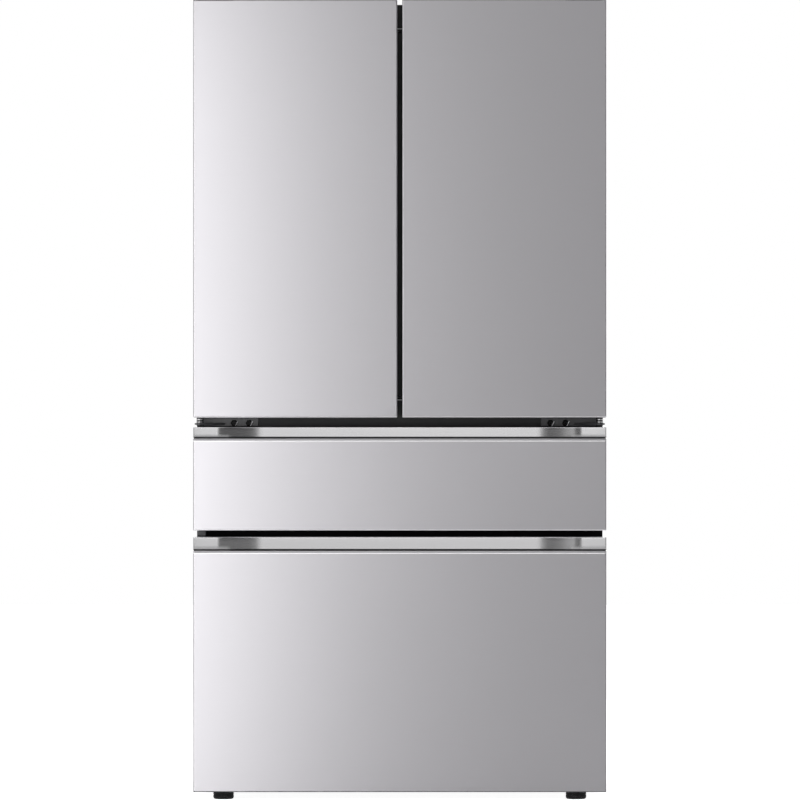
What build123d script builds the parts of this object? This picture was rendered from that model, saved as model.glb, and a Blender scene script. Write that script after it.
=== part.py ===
from build123d import *
import os

os.makedirs("parts", exist_ok=True)

# ------------------------------------------------------------------ driving dimensions (mm)
# X runs to the viewer's right, Y to the back and Z up. The origin is on the floor, under the middle.
WIDTH = 908.0                      # across the doors
DEPTH = 870.0                      # steel face to wall spacers
FRONT = -DEPTH / 2                 # steel face of every front
DOOR_T = 75.0                      # doors and drawer fronts, without the gasket
SEAL = 10.0                        # space that the gaskets fill
DOOR_BACK = FRONT + DOOR_T
CASE_FRONT = DOOR_BACK + SEAL
CASE_BACK = 420.0
CASE_HALF = 448.0                  # half width of the case
CASE_BASE = 38.0
CASE_TOP = 1756.0
SHEET = 1.0                        # case sheet
SKIN = 1.2                         # steel of the fronts
LINER = 2.0                        # vacuum-formed liners
RUN = 0.3                          # free space between faces of two moving bodies
FIT = 0.05                         # radial running clearance of pins and axles

# the four fronts, bottom and top
FREEZER_Z = (21.0, 581.0)
MIDDLE_Z = (596.0, 823.0)
DOOR_Z = (845.0, 1762.0)
CENTRE_GAP = 10.8                  # between the two doors
EDGE_R = 2.5                       # rounded edge of the steel faces
FREEZER_STRIP = 28.0               # height of the handle strip on each drawer
MIDDLE_STRIP = 23.0

# compartments, inside the liners
ROOM_HALF = 400.0
ROOM_BACK = 340.0
FRESH_ROOM = (884.0, 1702.0)
MIDDLE_ROOM = (632.0, 784.0)
FREEZER_ROOM = (96.0, 545.0)
STEP_Y = 110.0                     # the freezer floor steps up over the machine room
STEP_Z = 335.0
MACHINE_Y = 128.0
MACHINE_TOP = 300.0

# hinges
PIN_X = 441.0
PIN_Y = FRONT + 38.0
PIN_R = 5.0
CAP_H = 40.0                       # end caps of the doors
NOTCH_Z = 1748.0                   # the hinge arm lies in a notch of the top cap
ARM_T = 4.0
GAP_MID = (MIDDLE_Z[1] + DOOR_Z[0]) / 2

# flip mullion on the left door
PIVOT_X = -36.0
PIVOT_Y = CASE_FRONT + 10.0
MULLION_X = (-30.0, 32.0)
MULLION_T = 20.0
MULLION_Z = (890.0, 1696.0)
MULLION_KNUCKLES = (1020.0, 1293.0, 1566.0)
DYKE_X = (50.0, 392.0)             # raised rim of each door liner, from the centre plane outwards
DYKE_W = 16.0
DYKE_BACK = -318.0
DYKE_Z = (895.0, 1690.0)
KNUCKLE_H = 20.0                   # half height of a knuckle on the bar
EAR_H = 10.0                       # height of an ear on the door, above and below each knuckle

# shelves
SHELF_FRONT = -230.0
SHELF_BACK = 312.0
SHELF_X = (8.0, 394.0)             # one half-width shelf, from the centre plane outwards
RAIL_W = 12.0
SLOT_FIRST = 1150.0
SLOT_PITCH = 30.0
SLOT_COUNT = 17
GLASS = 4.0
DUCT_FRONT = 324.0
LADDER_T = 10.0

# drawer runners
MIDDLE_RAIL_Z = 705.0
FREEZER_RAIL_Z = 357.0
RAIL_GROOVE = 7.0                  # half height of the groove in a fixed rail

# feet
LEG_X = 390.0
LEG_Y = -325.0
ROLLER_Y = 350.0
ROLLER_R = 17.0


# ------------------------------------------------------------------ helpers
def save(piece, label):
    """Label a finished piece and write it as its own file."""
    piece.part.label = label
    export_step(piece.part, f"parts/{label}.step")


def block(x, y, z, mode=Mode.ADD):
    """Box between two limits on each axis, joined to or cut from the piece being built."""
    middle = Vector(*[(limits[0] + limits[1]) / 2 for limits in (x, y, z)])
    size = [limits[1] - limits[0] for limits in (x, y, z)]
    with Locations(middle):
        Box(*size, mode=mode)


def rod(radius, start, end, mode=Mode.ADD):
    """Round bar between two points that differ along one axis."""
    middle = Vector(*[(a + b) / 2 for a, b in zip(start, end)])
    run = [abs(b - a) for a, b in zip(start, end)]
    turn = {0: (0, 90, 0), 1: (90, 0, 0), 2: (0, 0, 0)}[run.index(max(run))]
    with Locations(middle):
        Cylinder(radius, max(run), rotation=turn, mode=mode)


def span(side, near, far):
    """Limits on X of something near..far from the centre plane, on the left (-1) or right (+1)."""
    return tuple(sorted((side * near, side * far)))


def grow(limits, by):
    """The same limits, wider by the given amount at both ends."""
    return (limits[0] - by, limits[1] + by)


def tray(x, y, z, wall):
    """Open-topped box in the piece being built."""
    block(x, y, z)
    block(grow(x, -wall), grow(y, -wall), (z[0] + wall, z[1] + 1), mode=Mode.SUBTRACT)


SIDES = {"left": -1, "right": 1}
BOTH = (-1, 1)

# ------------------------------------------------------------------ cabinet
with BuildPart() as cabinet_wrapper:
    with BuildSketch(Plane.XZ.offset(-CASE_BACK)):
        with Locations((0, (CASE_BASE + CASE_TOP) / 2)):
            Rectangle(2 * CASE_HALF, CASE_TOP - CASE_BASE)
        with Locations((0, (CASE_BASE + CASE_TOP) / 2 - SHEET)):
            Rectangle(2 * (CASE_HALF - SHEET), CASE_TOP - CASE_BASE, mode=Mode.SUBTRACT)
    extrude(amount=CASE_BACK - CASE_FRONT)
save(cabinet_wrapper, "cabinet_wrapper")

INNER_HALF = CASE_HALF - SHEET
FLOOR_TOP = CASE_BASE + 2.0        # the base plate is 2 mm thick
SPACER = DEPTH / 2 - CASE_BACK - SHEET

with BuildPart() as back_panel:
    block((-CASE_HALF, CASE_HALF), (CASE_BACK, CASE_BACK + SHEET), (MACHINE_TOP, CASE_TOP))
    # pressed stiffening channels
    with BuildSketch(Plane.XZ.offset(-CASE_BACK - SHEET)):
        with Locations((0, (MACHINE_TOP + CASE_TOP) / 2)):
            with GridLocations(220, 0, 3, 1):
                SlotOverall(1150, 26, rotation=90)
    extrude(amount=-2)
    # wall spacers
    with Locations((0, CASE_BACK + SHEET + SPACER / 2, 1070)):
        with GridLocations(760, 0, 2, 1):
            Box(34, SPACER, 34)
            with Locations((0, 0, 560), (0, 0, -560)):
                Box(34, SPACER, 34)
save(back_panel, "back_panel")

LINER_HALF = ROOM_HALF + LINER
FRAME_BACK = CASE_FRONT + 6.0
CENTRE_BOLTS = (333.0, 366.0)      # bolts of the centre hinges, from the centre plane

SEAM = 0.05                        # between members that are spot-welded or bonded together

with BuildPart() as face_frame:
    frame_y = (CASE_FRONT, FRAME_BACK)
    for side in SIDES.values():
        block(span(side, LINER_HALF, INNER_HALF), frame_y, (FLOOR_TOP, CASE_TOP - SHEET))
    # rails between the stiles: under the freezer, between the rooms, over the fresh food
    rail_x = (SEAM - LINER_HALF, LINER_HALF - SEAM)
    lows = (FLOOR_TOP, FREEZER_ROOM[1] + LINER, MIDDLE_ROOM[1] + LINER, FRESH_ROOM[1] + LINER)
    highs = (FREEZER_ROOM[0] - LINER, MIDDLE_ROOM[0] - LINER, FRESH_ROOM[0] - LINER, CASE_TOP - SHEET)
    for low, high in zip(lows, highs):
        block(rail_x, frame_y, (low, high))
    # stop block of the freezer drawer, left in the gap between the two drawers
    block((-INNER_HALF, -432), (CASE_FRONT - 8, CASE_FRONT), (583, 594))
    for x in CENTRE_BOLTS:
        for side in BOTH:
            rod(3 + FIT, (side * x, CASE_FRONT - 1, GAP_MID), (side * x, FRAME_BACK + 1, GAP_MID),
                mode=Mode.SUBTRACT)
save(face_frame, "face_frame")

with BuildPart() as base_frame:
    block((-INNER_HALF, INNER_HALF), (CASE_FRONT, CASE_BACK), (CASE_BASE, FLOOR_TOP))
    block((-INNER_HALF, INNER_HALF), (MACHINE_Y, MACHINE_Y + 2), (FLOOR_TOP, MACHINE_TOP))
    block((-INNER_HALF, INNER_HALF), (MACHINE_Y, CASE_BACK), (MACHINE_TOP - 2, MACHINE_TOP))
    for side in BOTH:
        # threaded boss of a levelling leg
        rod(14, (side * LEG_X, LEG_Y, CASE_BASE - 12), (side * LEG_X, LEG_Y, CASE_BASE))
        rod(6 + FIT, (side * LEG_X, LEG_Y, CASE_BASE - 13), (side * LEG_X, LEG_Y, FLOOR_TOP + 1),
            mode=Mode.SUBTRACT)
        # fork and axle of a rear roller
        for ear in BOTH:
            middle = side * LEG_X + ear * (10 + RUN + 2)
            block((middle - 2, middle + 2), (ROLLER_Y - 14, ROLLER_Y + 14), (9, CASE_BASE))
        rod(3, (side * LEG_X - 14, ROLLER_Y, ROLLER_R), (side * LEG_X + 14, ROLLER_Y, ROLLER_R))
save(base_frame, "base_frame")


def room_box(z, wall, mode=Mode.ADD):
    """A straight compartment, or its liner's outside when wall is the liner's thickness."""
    front = CASE_FRONT if wall else CASE_FRONT - 1
    half = ROOM_HALF + wall
    block((-half, half), (front, ROOM_BACK + wall), grow(z, wall), mode=mode)


def freezer_box(wall, mode=Mode.ADD):
    """The freezer compartment with the step over the machine room."""
    front = CASE_FRONT if wall else CASE_FRONT - 1
    half = ROOM_HALF + wall
    block((-half, half), (front, ROOM_BACK + wall), (STEP_Z - wall, FREEZER_ROOM[1] + wall), mode=mode)
    block((-half, half), (front, STEP_Y + wall), grow(FREEZER_ROOM, wall), mode=mode)


for label, room in (("fresh_food_liner", FRESH_ROOM), ("middle_liner", MIDDLE_ROOM)):
    with BuildPart() as liner:
        room_box(room, LINER)
        room_box(room, 0, mode=Mode.SUBTRACT)
    save(liner, label)

with BuildPart() as freezer_liner:
    freezer_box(LINER)
    freezer_box(0, mode=Mode.SUBTRACT)
save(freezer_liner, "freezer_liner")

with BuildPart() as foam_insulation:
    block((-INNER_HALF, INNER_HALF), (FRAME_BACK, CASE_BACK), (FLOOR_TOP, CASE_TOP - SHEET))
    room_box(FRESH_ROOM, LINER, mode=Mode.SUBTRACT)
    room_box(MIDDLE_ROOM, LINER, mode=Mode.SUBTRACT)
    freezer_box(LINER, mode=Mode.SUBTRACT)
    block((-INNER_HALF, INNER_HALF), (MACHINE_Y, CASE_BACK + 1), (FLOOR_TOP - 1, MACHINE_TOP),
          mode=Mode.SUBTRACT)
save(foam_insulation, "foam_insulation")

# ------------------------------------------------------------------ fresh-food compartment
LADDER_X = (SHELF_X[0] + RAIL_W / 2, SHELF_X[1] - RAIL_W / 2)
slot_heights = [SLOT_FIRST + SLOT_PITCH * n for n in range(SLOT_COUNT)]

with BuildPart() as rear_duct_panel:
    block((-ROOM_HALF + 1, ROOM_HALF - 1), (DUCT_FRONT, ROOM_BACK), grow(FRESH_ROOM, -2))
    # air outlets, three rows on each side of the middle
    with Locations((0, DUCT_FRONT + 5, 1390)):
        with GridLocations(300, 0, 2, 1):
            for rise in (-190, 30, 240):
                with Locations((0, 0, rise - 8), (0, 0, rise), (0, 0, rise + 8)):
                    Box(120, 12, 4, mode=Mode.SUBTRACT)
    # slotted ladders that carry the shelves
    for x in LADDER_X:
        for side in BOTH:
            strip = (side * x - RAIL_W / 2, side * x + RAIL_W / 2)
            block(strip, (DUCT_FRONT - LADDER_T, DUCT_FRONT),
                  (SLOT_FIRST - 15, slot_heights[-1] + 15))
            with Locations(*[(side * x, DUCT_FRONT - LADDER_T / 2, z) for z in slot_heights]):
                Box(5, LADDER_T, 14, mode=Mode.SUBTRACT)
save(rear_duct_panel, "rear_duct_panel")


def hooks(side, z):
    """The two hooks that hang a shelf in the ladders, at one slot height."""
    for x in LADDER_X:
        block((side * x - 1.8, side * x + 1.8), (SHELF_BACK - 2, SHELF_BACK + 9), (z - 6, z + 6))


LEFT_SLOTS = (4, 11)
RIGHT_SLOT = 11
SLIDING_SLOT = 4
REBATE = 6.0                       # ledge that carries a pane

with BuildPart() as shelf_frames:
    for side, slot in [(-1, n) for n in LEFT_SLOTS] + [(1, RIGHT_SLOT)]:
        z = slot_heights[slot]
        x = span(side, *SHELF_X)
        y = (SHELF_FRONT, SHELF_BACK)
        block(x, y, (z - 8, z + 8))
        block(grow(x, -RAIL_W), grow(y, -RAIL_W), (z - 9, z + 9), mode=Mode.SUBTRACT)
        block(grow(x, -REBATE), grow(y, -REBATE), (z + 8 - GLASS, z + 9), mode=Mode.SUBTRACT)
        hooks(side, z)
save(shelf_frames, "shelf_frames")

SLIDE_Z = slot_heights[SLIDING_SLOT]
PANE_SPLIT = 44.0                  # front edge of the fixed rear pane

with BuildPart() as sliding_shelf_frame:
    x = span(1, *SHELF_X)
    block(x, (SHELF_FRONT, SHELF_BACK), (SLIDE_Z - 16, SLIDE_Z + 8))
    block(grow(x, -RAIL_W), (SHELF_FRONT - 1, SHELF_BACK - RAIL_W), (SLIDE_Z - 17, SLIDE_Z + 9),
          mode=Mode.SUBTRACT)
    block(grow(x, -REBATE), (PANE_SPLIT, SHELF_BACK - REBATE), (SLIDE_Z + 8 - GLASS, SLIDE_Z + 9),
          mode=Mode.SUBTRACT)
    # groove in which the front pane slides
    block(grow(x, -REBATE), (SHELF_FRONT - 1, SHELF_BACK - RAIL_W + 3),
          (SLIDE_Z - 6, SLIDE_Z - 6 + GLASS + 2 * RUN), mode=Mode.SUBTRACT)
    hooks(1, SLIDE_Z)
save(sliding_shelf_frame, "sliding_shelf_frame")

COVER_Z = (1092.0, 1108.0)         # frame over the two crisper drawers
COVER_HALF = ROOM_HALF - 3

with BuildPart() as shelf_glass:
    for side, slot in [(-1, n) for n in LEFT_SLOTS] + [(1, RIGHT_SLOT)]:
        z = slot_heights[slot] + 8
        block(grow(span(side, *SHELF_X), -REBATE), (SHELF_FRONT + REBATE, SHELF_BACK - REBATE),
              (z - GLASS, z))
    block(grow(span(1, *SHELF_X), -REBATE), (PANE_SPLIT, SHELF_BACK - REBATE),
          (SLIDE_Z + 8 - GLASS, SLIDE_Z + 8))
    block((-COVER_HALF + REBATE, COVER_HALF - REBATE), (SHELF_FRONT + REBATE, SHELF_BACK - REBATE),
          (COVER_Z[1] - GLASS, COVER_Z[1]))
save(shelf_glass, "shelf_glass")

with BuildPart() as sliding_shelf:
    block(grow(span(1, *SHELF_X), -REBATE - RUN), (SHELF_FRONT + 8, PANE_SPLIT + 8),
          (SLIDE_Z - 6 + RUN, SLIDE_Z - 6 + RUN + GLASS))
    block(grow(span(1, *SHELF_X), -RAIL_W - 2), (SHELF_FRONT - 2, SHELF_FRONT + 8),
          (SLIDE_Z - 12, SLIDE_Z + 12))
save(sliding_shelf, "sliding_shelf")

with BuildPart() as crisper_cover:
    block((-COVER_HALF, COVER_HALF), (SHELF_FRONT, DUCT_FRONT), COVER_Z)
    block((-COVER_HALF + 16, COVER_HALF - 16), (SHELF_FRONT + 16, SHELF_BACK - 16),
          grow(COVER_Z, 1), mode=Mode.SUBTRACT)
    block((-COVER_HALF + REBATE, COVER_HALF - REBATE), (SHELF_FRONT + REBATE, SHELF_BACK - REBATE),
          (COVER_Z[1] - GLASS, COVER_Z[1] + 1), mode=Mode.SUBTRACT)
    # wall between the two drawers
    block((-3, 3), (SHELF_FRONT + 4, SHELF_BACK - 12), (FRESH_ROOM[0], COVER_Z[0] + 6))
save(crisper_cover, "crisper_cover")

with BuildPart() as crisper_drawers:
    for side in BOTH:
        x = span(side, 7, 393)
        tray(x, (SHELF_FRONT + 4, 296), (FRESH_ROOM[0], 1082), 3)
        # pull lip along the front
        block(grow(x, -60), (SHELF_FRONT - 4, SHELF_FRONT + 4), (1062, 1076))
save(crisper_drawers, "crisper_drawers")

with BuildPart() as ceiling_light:
    block((-160, 160), (-180, -20), (FRESH_ROOM[1] - 7, FRESH_ROOM[1]))
    fillet(ceiling_light.edges().filter_by(Axis.Z), 12)
save(ceiling_light, "ceiling_light")

with BuildPart() as control_panel:
    with BuildSketch(Plane.YZ.offset(-110)):
        with BuildLine():
            Polyline((-262, FRESH_ROOM[1]), (-212, FRESH_ROOM[1]), (-212, FRESH_ROOM[1] - 18),
                     (-232, FRESH_ROOM[1] - 18), (-262, FRESH_ROOM[1] - 6), close=True)
        make_face()
    extrude(amount=220)
save(control_panel, "control_panel")

# ------------------------------------------------------------------ cooling
EVAP_FAN_Z = 490.0
EVAP_Y = 290.0

with BuildPart() as evaporator_cover:
    block((-ROOM_HALF + 3, ROOM_HALF - 3), (EVAP_Y, EVAP_Y + 3), (STEP_Z, FREEZER_ROOM[1] - 2))
    with Locations((0, EVAP_Y + 1.5, EVAP_FAN_Z)):
        with GridLocations(26, 1, 5, 1):
            Box(14, 5, 70, mode=Mode.SUBTRACT)
    with Locations((0, EVAP_Y + 1.5, STEP_Z + 22)):
        with GridLocations(60, 1, 11, 1):
            Box(44, 5, 12, mode=Mode.SUBTRACT)
    # motor plate, motor and shaft of the fan
    block((-60, 60), (EVAP_Y + 3, EVAP_Y + 5), (EVAP_FAN_Z - 6, EVAP_FAN_Z + 6))
    rod(16, (0, EVAP_Y + 5, EVAP_FAN_Z), (0, EVAP_Y + 17, EVAP_FAN_Z))
    rod(2.5, (0, EVAP_Y + 17, EVAP_FAN_Z), (0, EVAP_Y + 36, EVAP_FAN_Z))
save(evaporator_cover, "evaporator_cover")

with BuildPart() as evaporator_coil:
    with Locations((0, EVAP_Y + 28, STEP_Z + 55)):
        with GridLocations(620, 1, 2, 1):
            Box(2, 34, 84)
        for row in range(4):
            for line in (-9, 9):
                with Locations((0, line, (row - 1.5) * 20)):
                    Cylinder(4, 622, rotation=(0, 90, 0))
        with GridLocations(24, 1, 25, 1):
            Box(0.8, 32, 78)
save(evaporator_coil, "evaporator_coil")


def fan(plane, hub_r, tip_r, blades, width, bore):
    """Axial fan about the plane's normal, its middle at the plane's origin."""
    with BuildPart(plane) as rotor:
        Cylinder(hub_r, width)
        for n in range(blades):
            turn = Rotation(0, 0, 360 / blades * n)
            place = turn * Pos((hub_r + tip_r) / 2 - 1, 0, 0) * Rotation(32, 0, 0)
            with Locations(place):
                Box(tip_r - hub_r + 2, hub_r * 1.1, 1.6)
        Cylinder(bore, width + 2, mode=Mode.SUBTRACT)
    return rotor


EVAP_FAN_Y = EVAP_Y + 27
save(fan(Plane((0, EVAP_FAN_Y, EVAP_FAN_Z), (1, 0, 0), (0, -1, 0)), 14, 46, 5, 14, 2.5 + FIT),
     "evaporator_fan")

FAN_Y = 220.0
FAN_Z = 148.0
FAN_X = 60.0

with BuildPart() as condenser_fan_frame:
    block((FAN_X, FAN_X + 30), (FAN_Y - 80, FAN_Y + 80), (FLOOR_TOP, FAN_Z + 80))
    rod(70, (FAN_X - 1, FAN_Y, FAN_Z), (FAN_X + 31, FAN_Y, FAN_Z), mode=Mode.SUBTRACT)
    for turn in (0, 60, 120):
        with Locations(Location((FAN_X + 2, FAN_Y, FAN_Z), (turn, 0, 0))):
            Box(4, 144, 8)
    rod(20, (FAN_X, FAN_Y, FAN_Z), (FAN_X + 9, FAN_Y, FAN_Z))
    rod(3, (FAN_X + 9, FAN_Y, FAN_Z), (FAN_X + 29, FAN_Y, FAN_Z))
save(condenser_fan_frame, "condenser_fan_frame")
save(fan(Plane((FAN_X + 19, FAN_Y, FAN_Z), (0, 1, 0), (1, 0, 0)), 20, 66, 5, 16, 3 + FIT), "condenser_fan")

with BuildPart() as condenser_coil:
    for x in (125, 399):
        block((x, x + 2), (165, 275), (FLOOR_TOP, 270))
    for row in range(6):
        for line in range(3):
            y = 190 + 30 * line
            z = 85 + 32 * row
            rod(4, (125, y, z), (401, y, z))
save(condenser_coil, "condenser_coil")

COMPRESSOR = (-230.0, 265.0)

with BuildPart() as compressor:
    cx, cy = COMPRESSOR
    rod(82, (cx, cy, 56), (cx, cy, 232))
    fillet(compressor.edges().group_by(Axis.Z)[-1], 45)
    fillet(compressor.edges().group_by(Axis.Z)[0], 18)
    block((cx - 110, cx + 110), (cy - 66, cy + 66), (52, 57))
    with Locations((cx, cy, 46)):
        with GridLocations(190, 104, 2, 2):
            Cylinder(10, 12)
    # suction and discharge stubs
    rod(5, (cx + 60, cy, 120), (cx + 150, cy, 120))
    rod(4, (cx + 60, cy + 30, 150), (cx + 150, cy + 30, 150))
save(compressor, "compressor")

with BuildPart() as machine_cover:
    block((-INNER_HALF, INNER_HALF), (CASE_BACK, CASE_BACK + 2), (CASE_BASE, MACHINE_TOP))
    for middle in (-230, 230):
        with Locations((middle, CASE_BACK + 1, 168)):
            with GridLocations(80, 1, 4, 1):
                for rise in range(-80, 100, 20):
                    with Locations((0, 0, rise)):
                        Box(60, 4, 6, mode=Mode.SUBTRACT)
save(machine_cover, "machine_cover")

INLET_X = 400.0
GLAND_X = -400.0
GLAND_Z = 345.0
TUBE_R = 3.175

with BuildPart() as water_inlet_valve:
    block((INLET_X - 16, INLET_X + 16), (CASE_BACK + SHEET, CASE_BACK + 13), (GLAND_Z - 14, GLAND_Z + 14))
    rod(6, (INLET_X, CASE_BACK + 7, GLAND_Z - 26), (INLET_X, CASE_BACK + 7, GLAND_Z - 14))
    rod(TUBE_R, (INLET_X, CASE_BACK + 7, GLAND_Z - 50), (INLET_X, CASE_BACK + 7, GLAND_Z - 26))
save(water_inlet_valve, "water_inlet_valve")

with BuildPart() as power_cord_gland:
    rod(15, (GLAND_X, CASE_BACK + SHEET, GLAND_Z), (GLAND_X, CASE_BACK + 5, GLAND_Z))
    rod(9, (GLAND_X, CASE_BACK + 5, GLAND_Z), (GLAND_X, CASE_BACK + 14, GLAND_Z))
    rod(4.5, (GLAND_X, CASE_BACK + SHEET, GLAND_Z), (GLAND_X, CASE_BACK + 15, GLAND_Z),
        mode=Mode.SUBTRACT)
save(power_cord_gland, "power_cord_gland")

# ------------------------------------------------------------------ hinges
COVER_TOP = 1768.0
ARM_END = -338.0                   # where the hinge arm widens into its base plate
TOP_BOLTS = ((-430, -290), (-395, -320), (-395, -265))

with BuildPart() as top_hinges:
    for side in BOTH:
        with BuildSketch(Plane.XY.offset(CASE_TOP)):
            with Locations((side * PIN_X, PIN_Y)):
                Circle(12)
            with Locations((side * PIN_X, (PIN_Y + ARM_END) / 2)):
                Rectangle(24, ARM_END - PIN_Y)
            with Locations((side * 411, -292)):
                Rectangle(76, 96)
            with Locations(*[(-side * x, y) for x, y in TOP_BOLTS]):
                Circle(3 + FIT, mode=Mode.SUBTRACT)
        extrude(amount=ARM_T)
        rod(PIN_R, (side * PIN_X, PIN_Y, DOOR_Z[1] - CAP_H + 4), (side * PIN_X, PIN_Y, CASE_TOP + 1))
save(top_hinges, "top_hinges")

with BuildPart() as hinge_covers:
    for side in BOTH:
        block(span(side, 364, 452), (CASE_FRONT + 4, -234), (CASE_TOP, COVER_TOP))
    fillet(hinge_covers.edges().group_by(Axis.Z)[-1], 5)
    for side in BOTH:
        block(span(side, 366, 450), (CASE_FRONT + 6, -236), (CASE_TOP - 1, COVER_TOP - 2),
              mode=Mode.SUBTRACT)
        block(span(side, 428, 454), (CASE_FRONT + 3, ARM_END + 1), (CASE_TOP - 1, CASE_TOP + ARM_T + 1),
              mode=Mode.SUBTRACT)
save(hinge_covers, "hinge_covers")

FLANGE_X = (312.0, 433.0)
FLANGE_Z = (824.5, 843.5)
ARM_Z = (828.0, 832.0)

with BuildPart() as centre_hinges:
    for side in BOTH:
        block(span(side, *FLANGE_X), (CASE_FRONT - 4, CASE_FRONT), FLANGE_Z)
        with BuildSketch(Plane.XY.offset(ARM_Z[0])):
            with Locations((side * PIN_X, PIN_Y)):
                Circle(11)
            with BuildLine():
                Polyline((side * (PIN_X + 9), PIN_Y + 6), (side * FLANGE_X[1], CASE_FRONT - 4),
                         (side * 385, CASE_FRONT - 4), (side * (PIN_X - 8), PIN_Y - 8), close=True)
            make_face()
        extrude(amount=ARM_Z[1] - ARM_Z[0])
        # bush below the door and the pin inside it
        rod(6.5, (side * PIN_X, PIN_Y, 825), (side * PIN_X, PIN_Y, DOOR_Z[0] - 2 * RUN))
        rod(PIN_R, (side * PIN_X, PIN_Y, 826), (side * PIN_X, PIN_Y, DOOR_Z[0] + 24))
        for x in CENTRE_BOLTS:
            rod(3 + FIT, (side * x, CASE_FRONT - 5, GAP_MID), (side * x, CASE_FRONT + 1, GAP_MID),
                mode=Mode.SUBTRACT)
save(centre_hinges, "centre_hinges")

with BuildPart() as hinge_screws:
    for side in BOTH:
        with BuildSketch(Plane.XZ.offset(4 - CASE_FRONT)):
            with Locations(*[(side * x, GAP_MID) for x in CENTRE_BOLTS]):
                RegularPolygon(6, 6)
        extrude(amount=4)
        with BuildSketch(Plane.XZ.offset(-FRAME_BACK + 1)):
            with Locations(*[(side * x, GAP_MID) for x in CENTRE_BOLTS]):
                Circle(3)
        extrude(amount=9)
        with BuildSketch(Plane.XY.offset(CASE_TOP + ARM_T)):
            with Locations(*[(-side * x, y) for x, y in TOP_BOLTS]):
                RegularPolygon(6, 6)
        extrude(amount=5)
        with BuildSketch(Plane.XY.offset(CASE_TOP)):
            with Locations(*[(-side * x, y) for x, y in TOP_BOLTS]):
                Circle(3)
        extrude(amount=ARM_T)
save(hinge_screws, "hinge_screws")

# ------------------------------------------------------------------ gaskets and skins
SEAL_W = 14.0


def gasket(x, z):
    """Magnetic gasket: a flat ring behind a front, just clear of the case."""
    y = (DOOR_BACK, CASE_FRONT - RUN)
    with BuildPart() as ring:
        block(x, y, z)
        block(grow(x, -SEAL_W), grow(y, 1), grow(z, -SEAL_W), mode=Mode.SUBTRACT)
    return ring


RETURN_Y = FRONT + 12.0            # depth of the folds at the top and bottom of a steel face


def skin_shell(x, z, back, top_fold=RETURN_Y):
    """Steel face with rounded edges: deep side folds and short folds at the top and bottom."""
    with BuildPart() as shell:
        block(x, (FRONT, back), z)
        front_edges = shell.faces().sort_by(Axis.Y)[0].edges()
        fillet(front_edges, EDGE_R)
        block(grow(x, -SKIN), (FRONT + SKIN, back + 1), grow(z, -SKIN), mode=Mode.SUBTRACT)
        block(grow(x, -SKIN), (RETURN_Y, back + 1), grow(z, 1), mode=Mode.SUBTRACT)
        block(grow(x, -SKIN), (top_fold, back + 1), (z[1] - 2 * SKIN, z[1] + 1), mode=Mode.SUBTRACT)
    return shell


# ------------------------------------------------------------------ doors
DOOR_X = (CENTRE_GAP / 2, WIDTH / 2)
CORE_X = (DOOR_X[0] + SKIN, DOOR_X[1] - SKIN)
CORE_Y = (FRONT + SKIN, DOOR_BACK)
SKIN_BACK = DOOR_BACK - 2
GRIP_X = (60.0, 300.0)             # finger recess under each door
GRIP_Y = (-418.0, -384.0)
GRIP_DEPTH = 22.0
BIN_FLOORS = (925.0, 1190.0, 1455.0)
BIN_BACK = -262.0


def notch(side):
    """Room in a door's top corner for the hinge arm, over the whole swing."""
    block(span(side, PIN_X - 30, WIDTH / 2 + 1), (PIN_Y - 26, DOOR_BACK + 1), (NOTCH_Z, DOOR_Z[1] + 1),
          mode=Mode.SUBTRACT)


def door_skin(side):
    """Steel face of one door."""
    shell = skin_shell(span(side, *DOOR_X), DOOR_Z, SKIN_BACK)
    with BuildPart() as face:
        add(shell.part)
        notch(side)
    return face


def door_caps(side):
    """Top cap with the hinge notch, and bottom cap with the finger recess."""
    x = span(side, *CORE_X)
    with BuildPart() as caps:
        for end, inner in ((DOOR_Z[1], DOOR_Z[1] - CAP_H), (DOOR_Z[0], DOOR_Z[0] + CAP_H)):
            outer = end - SKIN if end > inner else end + SKIN
            block(x, CORE_Y, tuple(sorted((outer, inner))))
            block(x, (RETURN_Y, DOOR_BACK), tuple(sorted((end, inner))))
        notch(side)
        block(span(side, *GRIP_X), GRIP_Y, (DOOR_Z[0] - 1, DOOR_Z[0] + GRIP_DEPTH), mode=Mode.SUBTRACT)
        rod(PIN_R + FIT, (side * PIN_X, PIN_Y, DOOR_Z[1] - CAP_H + 2), (side * PIN_X, PIN_Y, DOOR_Z[1]),
            mode=Mode.SUBTRACT)
        rod(PIN_R + FIT, (side * PIN_X, PIN_Y, DOOR_Z[0] - 1), (side * PIN_X, PIN_Y, DOOR_Z[0] + 26),
            mode=Mode.SUBTRACT)
    return caps


def mullion_ears():
    """Ears and pins on the left door's rim, for the flip mullion."""
    for z in MULLION_KNUCKLES:
        for end in BOTH:
            near = z + end * (KNUCKLE_H + RUN)
            far = z + end * (KNUCKLE_H + EAR_H)
            rod(5, (PIVOT_X, PIVOT_Y, near), (PIVOT_X, PIVOT_Y, far))
            block((-DYKE_X[0], PIVOT_X), (PIVOT_Y - 3, PIVOT_Y + 3), tuple(sorted((near, far))))
        rod(2, (PIVOT_X, PIVOT_Y, z - KNUCKLE_H - EAR_H), (PIVOT_X, PIVOT_Y, z + KNUCKLE_H + EAR_H))


def door_liner(side):
    """Foamed inner door, with the raised rim that carries the bins bonded to its back."""
    with BuildPart() as inner:
        block(span(side, *CORE_X), CORE_Y, (DOOR_Z[0] + CAP_H, DOOR_Z[1] - CAP_H))
        rim = span(side, *DYKE_X)
        block(rim, (DOOR_BACK + SEAM, DYKE_BACK), DYKE_Z)
        block(grow(rim, -DYKE_W), (DOOR_BACK + SEAM, DYKE_BACK + 1), grow(DYKE_Z, -DYKE_W),
              mode=Mode.SUBTRACT)
        if side < 0:
            mullion_ears()
    return inner


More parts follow.
